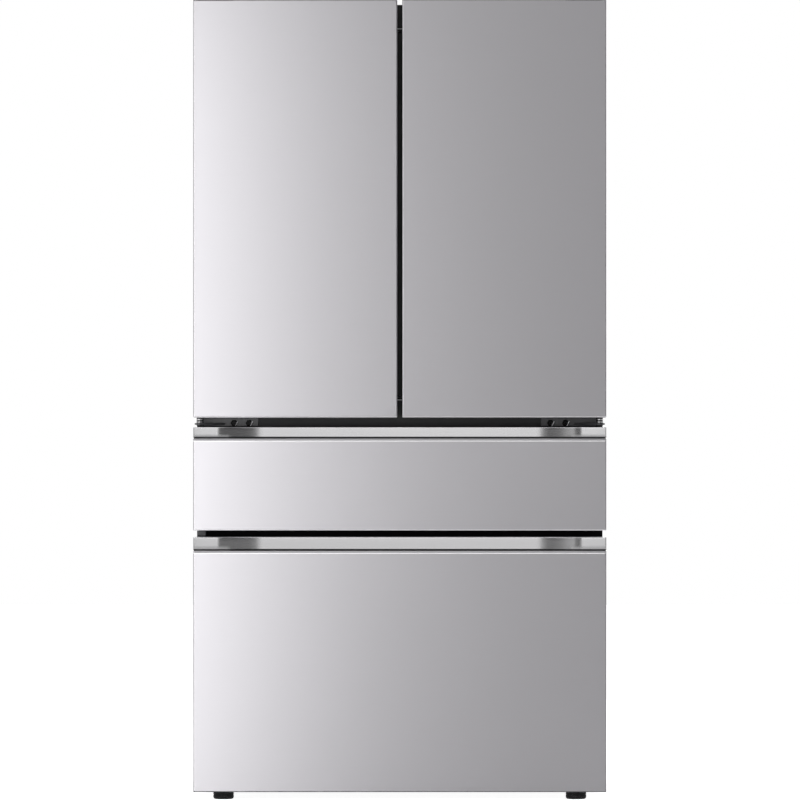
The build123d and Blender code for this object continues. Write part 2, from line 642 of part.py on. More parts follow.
def door_bins(side):
    """Three open bins between the uprights of the rim."""
    x = grow(span(side, *DYKE_X), -DYKE_W)
    with BuildPart() as bins:
        for floor in BIN_FLOORS:
            tray(x, (DOOR_BACK + 3, BIN_BACK), (floor, floor + 105), 2.5)
    return bins


for name, side in SIDES.items():
    save(door_skin(side), f"{name}_door_skin")
    save(door_liner(side), f"{name}_door_liner")
    save(door_caps(side), f"{name}_door_caps")
    save(gasket(span(side, 10, PIN_X - 7), (DOOR_Z[0] + 12, DOOR_Z[1] - 22)), f"{name}_door_gasket")
    save(door_bins(side), f"{name}_door_bins")

with BuildPart() as flip_mullion:
    block(MULLION_X, (CASE_FRONT, CASE_FRONT + MULLION_T), MULLION_Z)
    for z in MULLION_KNUCKLES:
        for end in BOTH:
            # recess in the bar beside each ear of the door's hinge
            low = z + end * (KNUCKLE_H + EAR_H / 2) - EAR_H
            block((MULLION_X[0] - 1, MULLION_X[0] + 3), (CASE_FRONT - 1, CASE_FRONT + MULLION_T + 1),
                  (low, low + 2 * EAR_H), mode=Mode.SUBTRACT)
        block((PIVOT_X, MULLION_X[0] + 3), (PIVOT_Y - 3, PIVOT_Y + 3), (z - KNUCKLE_H, z + KNUCKLE_H))
        rod(5, (PIVOT_X, PIVOT_Y, z - KNUCKLE_H), (PIVOT_X, PIVOT_Y, z + KNUCKLE_H))
        rod(2 + FIT, (PIVOT_X, PIVOT_Y, z - 60), (PIVOT_X, PIVOT_Y, z + 60), mode=Mode.SUBTRACT)
save(flip_mullion, "flip_mullion")

# ------------------------------------------------------------------ drawers
POCKET_HALF = 402.0                # where the handle pocket starts, from the centre plane
POCKET_BLEND = 102.0               # length over which it sinks to its full depth
POCKET_DEPTH = 22.0
# how far the pocket has sunk, by distance from its start
POCKET_CURVE = ((0.0, 0.0), (11.0, 3.7), (28.0, 9.6), (54.0, 16.8), (80.0, 21.0),
                (POCKET_BLEND, POCKET_DEPTH))
LIP_T = 6.0                        # pull lip, with the steel face
BAR_DEPTH = 40.0                   # the handle strip, front to back
CHANNEL = 28.0                     # how far the channel runs down behind the lip
PLUG_HALF = 380.0
PLUG_BACK = -335.0


def pocket_plan():
    """The handle pocket seen from above: flush at both ends, sinking along a skewed S curve."""
    deep = POCKET_HALF - POCKET_BLEND
    left = [(-POCKET_HALF + along, FRONT + sunk) for along, sunk in POCKET_CURVE]
    right = [(-x, y) for x, y in reversed(left)]
    slope = 0.3                    # of the curve where it leaves the front
    with BuildSketch() as plan:
        with BuildLine():
            Spline(*left, tangents=[(1, slope), (1, 0)])
            Line((-deep, FRONT + POCKET_DEPTH), (deep, FRONT + POCKET_DEPTH))
            Spline(*right, tangents=[(1, 0), (1, -slope)])
            Polyline((POCKET_HALF, FRONT), (POCKET_HALF, FRONT - 1), (-POCKET_HALF, FRONT - 1),
                     (-POCKET_HALF, FRONT))
        make_face()
    return plan.sketch


def handle_strip(top, height):
    """Metal strip along a drawer's top, with a pocket and a finger channel behind the pull lip."""
    low = top - height
    floor = low - CHANNEL
    plan = pocket_plan()
    with BuildPart() as strip:
        block((-WIDTH / 2 + SKIN, WIDTH / 2 - SKIN), (FRONT + SKIN, FRONT + BAR_DEPTH), (floor - 4, low))
        block((-WIDTH / 2, WIDTH / 2), (FRONT, FRONT + BAR_DEPTH), (low, top))
        fillet(strip.faces().sort_by(Axis.Y)[0].edges().filter_by(Axis.X), 1.0)
        with BuildSketch(Plane.XY.offset(low)):
            add(plan)
        extrude(amount=height + 1, mode=Mode.SUBTRACT)
        with BuildSketch(Plane.XY.offset(floor)):
            add(plan)
            with Locations((0, FRONT + LIP_T - 50)):
                Rectangle(WIDTH, 100, mode=Mode.SUBTRACT)
        extrude(amount=CHANNEL, mode=Mode.SUBTRACT)
        # room for the top fold of the steel face, over the pull lip
        block((-WIDTH / 2, WIDTH / 2), (FRONT - 1, FRONT + LIP_T), (low - 1 - SKIN, low), mode=Mode.SUBTRACT)
    return strip


def drawer_liner(z, strip, plug_z):
    """Foamed inner front of a drawer, with the plug that enters the compartment."""
    low = z[1] - strip - CHANNEL - 4
    x = (-WIDTH / 2 + SKIN, WIDTH / 2 - SKIN)
    with BuildPart() as inner:
        block(x, CORE_Y, (z[0] + SKIN, low))
        block(x, (FRONT + BAR_DEPTH, DOOR_BACK), (low, z[1]))
        block(x, (RETURN_Y, DOOR_BACK), (z[0], z[0] + SKIN))
        block((-PLUG_HALF, PLUG_HALF), (DOOR_BACK, PLUG_BACK), plug_z)
    return inner


DRAWERS = {
    "middle": (MIDDLE_Z, MIDDLE_STRIP, grow(MIDDLE_ROOM, -12), (608, 811)),
    "freezer": (FREEZER_Z, FREEZER_STRIP, grow(FREEZER_ROOM, -14), (60, 569)),
}
for name, (z, strip, plug_z, seal_z) in DRAWERS.items():
    skin_top = z[1] - strip - 1
    face = skin_shell((-WIDTH / 2, WIDTH / 2), (z[0], skin_top), SKIN_BACK, FRONT + LIP_T)
    save(face, f"{name}_drawer_skin")
    save(handle_strip(z[1], strip), f"{name}_drawer_handle")
    save(drawer_liner(z, strip, plug_z), f"{name}_drawer_liner")
    save(gasket((-PIN_X + 7, PIN_X - 7), seal_z), f"{name}_drawer_gasket")

MIDDLE_RUN_BACK = 190.0
FREEZER_RUN_BACK = 250.0

with BuildPart() as cabinet_slide_rails:
    for z, back in ((MIDDLE_RAIL_Z, 200), (FREEZER_RAIL_Z, 280)):
        for side in BOTH:
            block(span(side, 390, ROOM_HALF), (-330, back), (z - 12, z + 12))
            block(span(side, 389, 396), (-331, back - 4), (z - RAIL_GROOVE, z + RAIL_GROOVE),
                  mode=Mode.SUBTRACT)
save(cabinet_slide_rails, "cabinet_slide_rails")

RUNNER = RAIL_GROOVE - 0.5         # half height of a moving runner

with BuildPart() as middle_drawer_slides:
    for side in BOTH:
        block(span(side, 379, 395), (PLUG_BACK, MIDDLE_RUN_BACK),
              (MIDDLE_RAIL_Z - RUNNER, MIDDLE_RAIL_Z + RUNNER))
save(middle_drawer_slides, "middle_drawer_slides")

with BuildPart() as middle_drawer_bin:
    y = (PLUG_BACK + 2, 180)
    rim_z = MIDDLE_RAIL_Z + RUNNER
    tray((-376, 376), y, (642, 768), 3)
    for side in BOTH:
        block(span(side, 375, 388), y, (rim_z, rim_z + 3))
save(middle_drawer_bin, "middle_drawer_bin")

TRAY_LEDGE = 402.0                 # the upper tray slides on this ledge

with BuildPart() as freezer_drawer_slides:
    for side in BOTH:
        y = (PLUG_BACK, FREEZER_RUN_BACK)
        top = FREEZER_RAIL_Z + RUNNER
        block(span(side, 371, 395), y, (FREEZER_RAIL_Z - RUNNER, top))
        block(span(side, 380, 384), y, (top, TRAY_LEDGE))
        block(span(side, 370, 384), y, (TRAY_LEDGE - 4, TRAY_LEDGE))
save(freezer_drawer_slides, "freezer_drawer_slides")

with BuildPart() as freezer_drawer_basket:
    y = (PLUG_BACK + 2, 95)
    rim_z = FREEZER_RAIL_Z + RUNNER
    tray((-367, 367), y, (112, 380), 3)
    for side in BOTH:
        block(span(side, 366, 378), y, (rim_z, rim_z + 3))
save(freezer_drawer_basket, "freezer_drawer_basket")

with BuildPart() as freezer_tray:
    y = (PLUG_BACK + 10, -60)
    tray((-366, 366), y, (384, 500), 3)
    for side in BOTH:
        block(span(side, 365, 378), y, (TRAY_LEDGE + RUN, TRAY_LEDGE + 3))
save(freezer_tray, "freezer_tray")

# ------------------------------------------------------------------ feet
for name, side in SIDES.items():
    with BuildPart() as leg:
        rod(22.75, (side * LEG_X, LEG_Y, 0), (side * LEG_X, LEG_Y, 16))
        fillet(leg.edges().group_by(Axis.Z)[0], 5)
        fillet(leg.edges().group_by(Axis.Z)[-1], 2)
        with BuildSketch(Plane.XY.offset(16)):
            with Locations((side * LEG_X, LEG_Y)):
                RegularPolygon(11, 6)
        extrude(amount=8)
        rod(6, (side * LEG_X, LEG_Y, 16), (side * LEG_X, LEG_Y, FLOOR_TOP - 0.5))
    save(leg, f"{name}_levelling_leg")

    with BuildPart() as roller:
        rod(ROLLER_R, (side * LEG_X - 10, ROLLER_Y, ROLLER_R), (side * LEG_X + 10, ROLLER_Y, ROLLER_R))
        fillet(roller.edges(), 2)
        rod(3 + FIT, (side * LEG_X - 11, ROLLER_Y, ROLLER_R), (side * LEG_X + 11, ROLLER_Y, ROLLER_R),
            mode=Mode.SUBTRACT)
    save(roller, f"{name}_rear_roller")
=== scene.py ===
import math

import bmesh
import bpy
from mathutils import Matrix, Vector


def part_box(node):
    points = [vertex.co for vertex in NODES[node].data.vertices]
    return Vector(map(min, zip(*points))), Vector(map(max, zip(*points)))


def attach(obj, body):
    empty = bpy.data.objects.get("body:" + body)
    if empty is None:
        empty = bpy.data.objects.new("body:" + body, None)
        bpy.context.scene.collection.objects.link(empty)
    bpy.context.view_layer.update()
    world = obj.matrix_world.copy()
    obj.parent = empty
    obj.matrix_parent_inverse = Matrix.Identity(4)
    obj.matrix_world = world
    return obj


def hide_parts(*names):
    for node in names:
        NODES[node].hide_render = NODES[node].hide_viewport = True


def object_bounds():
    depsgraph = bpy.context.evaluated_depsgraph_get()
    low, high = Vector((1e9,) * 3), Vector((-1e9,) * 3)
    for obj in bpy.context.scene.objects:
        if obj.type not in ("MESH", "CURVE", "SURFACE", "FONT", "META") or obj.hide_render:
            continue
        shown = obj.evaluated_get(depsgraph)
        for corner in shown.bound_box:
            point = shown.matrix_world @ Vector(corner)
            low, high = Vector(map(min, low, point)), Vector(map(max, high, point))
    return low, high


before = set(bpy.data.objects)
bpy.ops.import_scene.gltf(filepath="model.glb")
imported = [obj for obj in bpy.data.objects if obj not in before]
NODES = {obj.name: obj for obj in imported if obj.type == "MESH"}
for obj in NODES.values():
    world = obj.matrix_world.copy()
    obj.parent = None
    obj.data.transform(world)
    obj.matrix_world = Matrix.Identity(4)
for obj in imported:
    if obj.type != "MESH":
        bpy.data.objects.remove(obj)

CAD_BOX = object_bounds()
MM = 0.001
LEFT, RIGHT = -1, 1
ON_AXIS = 0.1 * MM                 # radius that closes a turned form on its axis
SHARP_ANGLE = 35                   # degrees between faces that shows as an edge


def limits(node):
    """A CAD node's box at rest, as three (low, high) pairs."""
    low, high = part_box(node)
    return [(low[i], high[i]) for i in range(3)]


SHEET = 1.2 * MM                   # steel face
EDGE = 2.5 * MM                    # roll of its edges
CASE_FRONT = limits("base_frame")[1][0]
PIN_X, PIN_Y = 441 * MM, -397 * MM


# ---------------------------------------------------------------------------- materials
class Shader:
    """A node material built round one Principled BSDF."""

    def __init__(self, name, color, roughness, metallic=0.0, **constants):
        self.material = bpy.data.materials.new(name)
        self.material.use_nodes = True
        self.tree = self.material.node_tree
        self.bsdf = self.tree.nodes["Principled BSDF"]
        self.color = color
        self.set("Base Color", (*color, 1.0))
        self.set("Roughness", roughness)
        self.set("Metallic", metallic)
        for key, value in constants.items():
            self.set(key.replace("_", " "), value)

    def set(self, socket, value):
        self.bsdf.inputs[socket].default_value = value

    def node(self, kind, **values):
        made = self.tree.nodes.new(kind)
        for key, value in values.items():
            if key in made.inputs:
                made.inputs[key].default_value = value
            else:
                setattr(made, key, value)
        return made

    def link(self, output, socket):
        self.tree.links.new(output, socket)

    def texture(self, kind, stretch=(1, 1, 1), **values):
        """A texture in the object's own coordinates, squeezed by stretch on each axis."""
        coordinates = self.node("ShaderNodeTexCoord")
        mapping = self.node("ShaderNodeMapping")
        mapping.inputs["Scale"].default_value = stretch
        made = self.node(kind, **values)
        self.link(coordinates.outputs["Object"], mapping.inputs["Vector"])
        self.link(mapping.outputs["Vector"], made.inputs["Vector"])
        return made

    def remap(self, output, low, high):
        """A 0 to 1 value spread over low to high."""
        made = self.node("ShaderNodeMapRange")
        made.inputs["To Min"].default_value = low
        made.inputs["To Max"].default_value = high
        self.link(output, made.inputs["Value"])
        return made.outputs["Result"]

    def tint(self, output, dark, light):
        """Base colour that runs from dark to light times the main colour."""
        made = self.node("ShaderNodeMix", data_type="RGBA")
        made.inputs["A"].default_value = (*[c * dark for c in self.color], 1.0)
        made.inputs["B"].default_value = (*[min(1.0, c * light) for c in self.color], 1.0)
        self.link(output, made.inputs["Factor"])
        self.link(made.outputs["Result"], self.bsdf.inputs["Base Color"])

    def rough(self, output, low, high):
        self.link(self.remap(output, low, high), self.bsdf.inputs["Roughness"])

    def bump(self, output, height, strength):
        made = self.node("ShaderNodeBump")
        made.inputs["Strength"].default_value = strength
        made.inputs["Distance"].default_value = height
        self.link(output, made.inputs["Height"])
        self.link(made.outputs["Normal"], self.bsdf.inputs["Normal"])


def brushed(name, color, roughness, grain, depth=0.00002):
    """Brushed metal: fine lines along one axis, over soft clouding."""
    shader = Shader(name, color, roughness, 1.0)
    lines = shader.texture("ShaderNodeTexNoise", grain, Scale=1.0, Detail=3.0, Roughness=0.7)
    clouds = shader.texture("ShaderNodeTexNoise", (3, 3, 3), Scale=1.0, Detail=2.0)
    mixed = shader.node("ShaderNodeMath", operation="MULTIPLY_ADD")
    shader.link(clouds.outputs["Fac"], mixed.inputs[0])
    mixed.inputs[1].default_value = 0.35
    shader.link(shader.remap(lines.outputs["Fac"], 0.0, 0.65), mixed.inputs[2])
    shader.tint(mixed.outputs["Value"], 0.965, 1.03)
    shader.rough(mixed.outputs["Value"], roughness - 0.035, roughness + 0.035)
    shader.bump(lines.outputs["Fac"], depth, 0.35)
    return shader.material


def painted(name, color, roughness, peel=0.00006, scale=900.0, coat=0.0):
    """Powder paint with a fine pebbled surface."""
    shader = Shader(name, color, roughness, Coat_Weight=coat, Coat_Roughness=0.25)
    pebbles = shader.texture("ShaderNodeTexNoise", Scale=scale, Detail=2.0, Roughness=0.6)
    wear = shader.texture("ShaderNodeTexNoise", Scale=6.0, Detail=4.0)
    shader.tint(wear.outputs["Fac"], 0.9, 1.1)
    shader.rough(wear.outputs["Fac"], roughness - 0.06, roughness + 0.08)
    shader.bump(pebbles.outputs["Fac"], peel, 0.6)
    return shader.material


def moulded(name, color, roughness, grain=700.0, depth=0.00003, sheen=0.35, glow=0.0, specular=0.5):
    """Injection-moulded plastic: fine spark-eroded grain and slow colour drift."""
    shader = Shader(name, color, roughness, 0.0, Specular_IOR_Level=specular, Coat_Weight=sheen,
                    Coat_Roughness=0.3)
    fine = shader.texture("ShaderNodeTexNoise", Scale=grain, Detail=1.0)
    slow = shader.texture("ShaderNodeTexNoise", Scale=4.0, Detail=3.0)
    shader.tint(slow.outputs["Fac"], 0.97, 1.02)
    shader.rough(slow.outputs["Fac"], roughness - 0.04, roughness + 0.05)
    shader.bump(fine.outputs["Fac"], depth, 0.5)
    if glow:
        shader.set("Emission Color", (*color, 1.0))
        shader.set("Emission Strength", glow)
    return shader.material


def clear(name, color, roughness, weight):
    """Clear plastic or glass, with faint flow marks."""
    shader = Shader(name, color, roughness, 0.0, IOR=1.49, Transmission_Weight=weight)
    flow = shader.texture("ShaderNodeTexNoise", (2, 2, 9), Scale=2.0, Detail=3.0)
    shader.rough(flow.outputs["Fac"], max(0.0, roughness - 0.02), roughness + 0.04)
    shader.bump(flow.outputs["Fac"], 0.0002, 0.15)
    shader.tint(flow.outputs["Fac"], 0.98, 1.01)
    return shader.material


def galvanised(name, color):
    """Zinc-coated sheet with its spangle."""
    shader = Shader(name, color, 0.42, 1.0)
    spangle = shader.texture("ShaderNodeTexVoronoi", Scale=70.0, Randomness=1.0)
    streaks = shader.texture("ShaderNodeTexNoise", (4, 4, 40), Scale=1.0, Detail=4.0)
    shader.tint(spangle.outputs["Color"], 0.86, 1.1)
    shader.rough(streaks.outputs["Fac"], 0.34, 0.52)
    shader.bump(spangle.outputs["Distance"], 0.00003, 0.4)
    return shader.material


def foamed(name, color):
    """Rigid foam with open cells."""
    shader = Shader(name, color, 0.95)
    cells = shader.texture("ShaderNodeTexVoronoi", Scale=400.0)
    shader.tint(cells.outputs["Distance"], 0.7, 1.05)
    shader.bump(cells.outputs["Distance"], 0.0006, 0.8)
    return shader.material


STEEL = brushed("brushed_steel", (0.60, 0.588, 0.612), 0.36, (7, 7, 900))
# lighter and darker copies of the brushed steel: a painted highlight and a painted shade for rolled edges
STEEL_PAINTED_HIGHLIGHT = brushed("steel_painted_highlight", (0.93, 0.92, 0.94), 0.3, (7, 900, 900))
STEEL_PAINTED_SHADE = brushed("steel_painted_shade", (0.22, 0.218, 0.226), 0.4, (7, 900, 900))
HANDLE = brushed("satin_handle", (0.86, 0.855, 0.865), 0.2, (5, 900, 900), 0.00001)
ZINC = brushed("zinc_plate", (0.52, 0.52, 0.50), 0.36, (30, 30, 300))
BRIGHT = brushed("bright_pin", (0.6, 0.6, 0.6), 0.3, (200, 200, 900))
BLACK_ZINC = brushed("black_zinc", (0.012, 0.012, 0.012), 0.35, (300, 300, 300))
TAB = brushed("bright_tab", (0.95, 0.95, 0.95), 0.35, (200, 200, 900))
TUBE = brushed("bare_tube", (0.66, 0.66, 0.66), 0.3, (20, 300, 300))
CASE_PAINT = painted("case_paint", (0.055, 0.056, 0.06), 0.5, coat=0.15)
FRAME_PAINT = painted("frame_paint", (0.009, 0.009, 0.01), 0.5)
BRACKET_PAINT = painted("bracket_paint", (0.07, 0.07, 0.074), 0.38, 0.00003, 500.0, coat=0.3)
BASE_PAINT = painted("base_paint", (0.03, 0.03, 0.032), 0.55)
COMPRESSOR_PAINT = painted("compressor_paint", (0.012, 0.012, 0.013), 0.28, coat=0.6)
BACK_ZINC = galvanised("back_zinc", (0.47, 0.48, 0.49))
WHITE = moulded("liner_white", (0.80, 0.81, 0.82), 0.3)
WHITE_DULL = moulded("duct_white", (0.74, 0.75, 0.76), 0.42)
TRIM_GREY = moulded("shelf_trim", (0.52, 0.53, 0.55), 0.35)
BLACK_PLASTIC = moulded("black_plastic", (0.014, 0.014, 0.015), 0.45, sheen=0.1)
DARK_PLASTIC = moulded("cap_plastic", (0.045, 0.045, 0.048), 0.4, sheen=0.15)
GLOSS_BLACK = moulded("gloss_black", (0.008, 0.008, 0.009), 0.08, depth=0.0, sheen=0.8)
FOOT_BLACK = moulded("foot_plastic", (0.004, 0.004, 0.0045), 0.6, sheen=0.0, specular=0.15)
# near-black with almost no gloss, over the black case front: painted shade for the gap between the drawers
GAP_SHADE_SHEET = moulded("gap_painted_shade", (0.003, 0.003, 0.0034), 0.7, sheen=0.0, specular=0.08)
RUBBER = moulded("gasket_rubber", (0.10, 0.10, 0.105), 0.62, 300.0, 0.00005, 0.0)
CORD_RUBBER = moulded("cord_rubber", (0.02, 0.02, 0.02), 0.7, 400.0, 0.00006, 0.0)
GLASS = clear("shelf_pane", (0.86, 0.95, 0.93), 0.02, 0.96)
CLEAR = clear("clear_plastic", (0.90, 0.94, 0.96), 0.05, 0.9)
LAMP = moulded("lamp_cover", (0.95, 0.95, 0.92), 0.4, glow=9.0)
FOAM = foamed("insulation", (0.72, 0.62, 0.36))


# ---------------------------------------------------------------------------- mesh helpers
def finish_mesh(mesh, name, material, body, nodes=(), sharp=SHARP_ANGLE):
    """Makes the object: smooth except over sharp edges, on its body, standing for its CAD nodes."""
    bmesh.ops.recalc_face_normals(mesh, faces=mesh.faces)
    data = bpy.data.meshes.new(name)
    mesh.to_mesh(data)
    mesh.free()
    data.materials.append(material)
    data.shade_smooth()
    data.set_sharp_from_angle(angle=math.radians(sharp))
    piece = bpy.data.objects.new(name, data)
    bpy.context.scene.collection.objects.link(piece)
    even_shading(piece)
    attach(piece, body)
    if nodes:
        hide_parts(*nodes)
    return piece


def even_shading(piece):
    """Keeps flat faces flat beside rounded edges."""
    modifier = piece.modifiers.new("normals", "WEIGHTED_NORMAL")
    modifier.keep_sharp = True


def add_box(mesh, x, y, z, bevel=0.0, segments=2):
    """A box in mesh, with its edges rounded by bevel."""
    size = [abs(b - a) for a, b in (x, y, z)]
    middle = Vector([(a + b) / 2 for a, b in (x, y, z)])
    made = bmesh.ops.create_cube(mesh, size=1.0)["verts"]
    for vert in made:
        vert.co = Vector([vert.co[i] * size[i] for i in range(3)]) + middle
    if bevel:
        edges = list({edge for vert in made for edge in vert.link_edges})
        bmesh.ops.bevel(mesh, geom=edges, offset=min(bevel, 0.45 * min(size)), segments=segments,
                        affect="EDGES", profile=0.5)


def ring(plane, level, sides, radius, steps=5):
    """A rounded rectangle. plane is "xy" or "xz"; level is the place on the third axis."""
    (a0, a1), (b0, b1) = sides
    radius = max(1e-5, min(radius, (a1 - a0) / 2.01, (b1 - b0) / 2.01))
    points = []
    corners = ((a1 - radius, b1 - radius, 0), (a0 + radius, b1 - radius, 90),
               (a0 + radius, b0 + radius, 180), (a1 - radius, b0 + radius, 270))
    for ca, cb, start in corners:
        for n in range(steps + 1):
            angle = math.radians(start + 90 * n / steps)
            a, b = ca + radius * math.cos(angle), cb + radius * math.sin(angle)
            points.append((a, b, level) if plane == "xy" else (a, level, b))
    return points


def quarter(steps):
    """The angles of a quarter turn, in equal steps."""
    return [math.pi / 2 * n / steps for n in range(steps + 1)]


def bridge(mesh, one, two):
    """A band of faces between two closed loops of vertices."""
    for n in range(len(one)):
        m = (n + 1) % len(one)
        mesh.faces.new((one[n], one[m], two[m], two[n]))


def add_loft(mesh, rings, close_ends=True):
    """Faces between rings of equal length, with an n-gon over each end unless close_ends is off."""
    loops = [[mesh.verts.new(p) for p in points] for points in rings]
    for one, two in zip(loops, loops[1:]):
        bridge(mesh, one, two)
    if close_ends:
        mesh.faces.new(loops[0])
        mesh.faces.new(list(reversed(loops[-1])))
    return loops


def inset(sides, by):
    """A rectangle drawn in by the same amount all round."""
    (a0, a1), (b0, b1) = sides
    return ((a0 + by, a1 - by), (b0 + by, b1 - by))


def add_lathe(mesh, profile, centre, axis, steps):
    """A turned form with flat ends: profile is (radius, place along the axis) points."""
    loops = []
    for radius, along in profile:
        loop = []
        for n in range(steps):
            angle = 2 * math.pi * n / steps
            a, b = radius * math.cos(angle), radius * math.sin(angle)
            offset = {"z": (a, b, along), "y": (a, along, b), "x": (along, a, b)}[axis]
            loop.append(Vector(centre) + Vector(offset))
        loops.append(loop)
    add_loft(mesh, loops)


def barrel(radius, low, high, inward, along):
    """Profile of a solid cylinder whose end edges are chamfered."""
    return [(ON_AXIS, low), (radius - inward, low), (radius, low + along), (radius, high - along),
            (radius - inward, high), (ON_AXIS, high)]


def add_tube(mesh, points, radius, steps):
    """A round rod along a list of points, with flat ends."""
    path = [Vector(p) for p in points]
    up = Vector((0, 0, 1))
    loops = []
    for n, point in enumerate(path):
        ahead = path[min(n + 1, len(path) - 1)] - path[max(n - 1, 0)]
        ahead.normalize()
        side = ahead.cross(up)
        if side.length < 1e-3:
            side = ahead.cross(Vector((1, 0, 0)))
        side.normalize()
        rise = side.cross(ahead)
        loops.append([point + radius * (math.cos(t) * side + math.sin(t) * rise)
                      for t in [2 * math.pi * k / steps for k in range(steps)]])
    add_loft(mesh, loops)


def add_sweep(mesh, profile, sides, plane, radius, steps):
    """A closed profile of (inward, level) points carried round a rounded rectangle."""
    smallest = 0.5 * MM
    rings = []
    for inward, level in profile:
        corner = radius - inward if radius > inward else smallest
        rings.append(ring(plane, level, inset(sides, inward), corner, steps))
    loops = add_loft(mesh, rings, close_ends=False)
    bridge(mesh, loops[-1], loops[0])


def carve(piece, boxes):
    """Cuts boxes out of a piece and keeps the result as its mesh."""
    cutters = []
    piece.modifiers.clear()
    for x, y, z in boxes:
        mesh = bmesh.new()
        add_box(mesh, x, y, z)
        data = bpy.data.meshes.new("cutter")
        mesh.to_mesh(data)
        mesh.free()
        cutter = bpy.data.objects.new("cutter", data)
        bpy.context.scene.collection.objects.link(cutter)
        modifier = piece.modifiers.new("cut", "BOOLEAN")
        modifier.object = cutter
        modifier.solver = "EXACT"
        cutters.append(cutter)
    bpy.context.view_layer.update()
    shape = bpy.data.meshes.new_from_object(piece.evaluated_get(bpy.context.evaluated_depsgraph_get()))
    piece.modifiers.clear()
    piece.data = shape
    piece.data.set_sharp_from_angle(angle=math.radians(SHARP_ANGLE))
    even_shading(piece)
    for cutter in cutters:
        bpy.data.objects.remove(cutter)


def container(name, x, y, z, wall, material, body, nodes, draft, corner, lip, bevel):
    """An open-topped moulded container with draft, rounded corners and a rolled rim."""
    sides = (x, y)
    mesh = bmesh.new()
    # up the outside, over the rim and down the inside
    rings = [
        ring("xy", z[0], inset(sides, draft + bevel), corner),
        ring("xy", z[0] + 0.3 * bevel, inset(sides, draft + 0.3 * bevel), corner),
        ring("xy", z[0] + bevel, inset(sides, draft), corner),
        ring("xy", z[1] - 3 * lip, inset(sides, lip), corner),
        ring("xy", z[1] - 2 * lip, sides, corner + lip),
        ring("xy", z[1] - 0.3 * wall, sides, corner + lip),
        ring("xy", z[1], inset(sides, 0.3 * wall), corner + lip),
        ring("xy", z[1], inset(sides, lip + wall * 0.7), corner),
        ring("xy", z[1] - 0.3 * wall, inset(sides, lip + wall), corner),
        ring("xy", z[0] + wall + bevel, inset(sides, draft + wall), corner - wall),
        ring("xy", z[0] + wall, inset(sides, draft + wall + bevel), corner - wall),
    ]
    add_loft(mesh, rings)
    finish_mesh(mesh, name, material, body, nodes)


# ---------------------------------------------------------------------------- camera and light
VIEW_WIDTH = 1.7580                # what the picture's side covers at the steel faces
VIEW_X, VIEW_Z = 0.0005, 0.8828
CAMERA_BACK = 15.0                 # from the steel faces
SENSOR = 36.0


def camera_and_light():
    """The straight-on camera, the softboxes and the room."""
    front = CAD_BOX[0][1]
    camera = bpy.data.objects.new("camera", bpy.data.cameras.new("camera"))
    bpy.context.scene.collection.objects.link(camera)
    camera.location = (VIEW_X, front - CAMERA_BACK, VIEW_Z)
    camera.rotation_euler = (math.pi / 2, 0, 0)
    camera.data.sensor_width = SENSOR
    camera.data.lens = SENSOR * CAMERA_BACK / VIEW_WIDTH
    camera.data.clip_end = 100
    bpy.context.scene.camera = camera
    bpy.context.scene.view_settings.view_transform = "Standard"

    def softbox(name, place, aim, size, power, spread=180):
        """A lit rectangle that the camera doesn't see. power is in watts, spread in degrees."""
        data = bpy.data.lights.new(name, "AREA")
        data.shape = "RECTANGLE"
        data.size, data.size_y = size
        data.energy = power
        data.spread = math.radians(spread)
        light = bpy.data.objects.new(name, data)
        light.location = place
        light.rotation_euler = (Vector(aim) - Vector(place)).to_track_quat("-Z", "Y").to_euler()
        light.visible_camera = False
        bpy.context.scene.collection.objects.link(light)

    softbox("key", (-1.48, front - 2.5, 0.9), (-1.35, front, 0.9), (1.9, 2.6), 15.8, 110)
    softbox("top", (0, 0.2, 4.2), (0, 0, 0), (4.0, 4.0), 35)
    softbox("rear", (0.8, 4.0, 2.2), (0, 0.4, 0.9), (3.0, 2.5), 50)
    softbox("side", (4.2, -0.3, 1.8), (0.4, 0, 0.9), (2.5, 2.5), 20)
    # a low strip for the doors and the middle drawer, and a high one for the drawers and strips
    softbox("low_edge", (0, front - 0.18, 0.01), (0, front - 0.08, 0.9), (1.6, 0.25), 1.6)
    softbox("high_edge", (-0.3, front - 2.2, 1.95), (-0.1, front, 0.7), (2.6, 0.5), 7)
    studio_world()


# the room by compass bearing from the front, in degrees, and how bright it is there
BEARINGS = (-180, -75, -45, -31, -17, -8, -4, 4, 8, 17, 39, 70, 180)
BRIGHTNESS = (0.5, 0.7, 0.5, 0.1, 0.02, 0.16, 0.95, 0.95, 0.16, 0.04, 0.03, 0.15, 0.45)


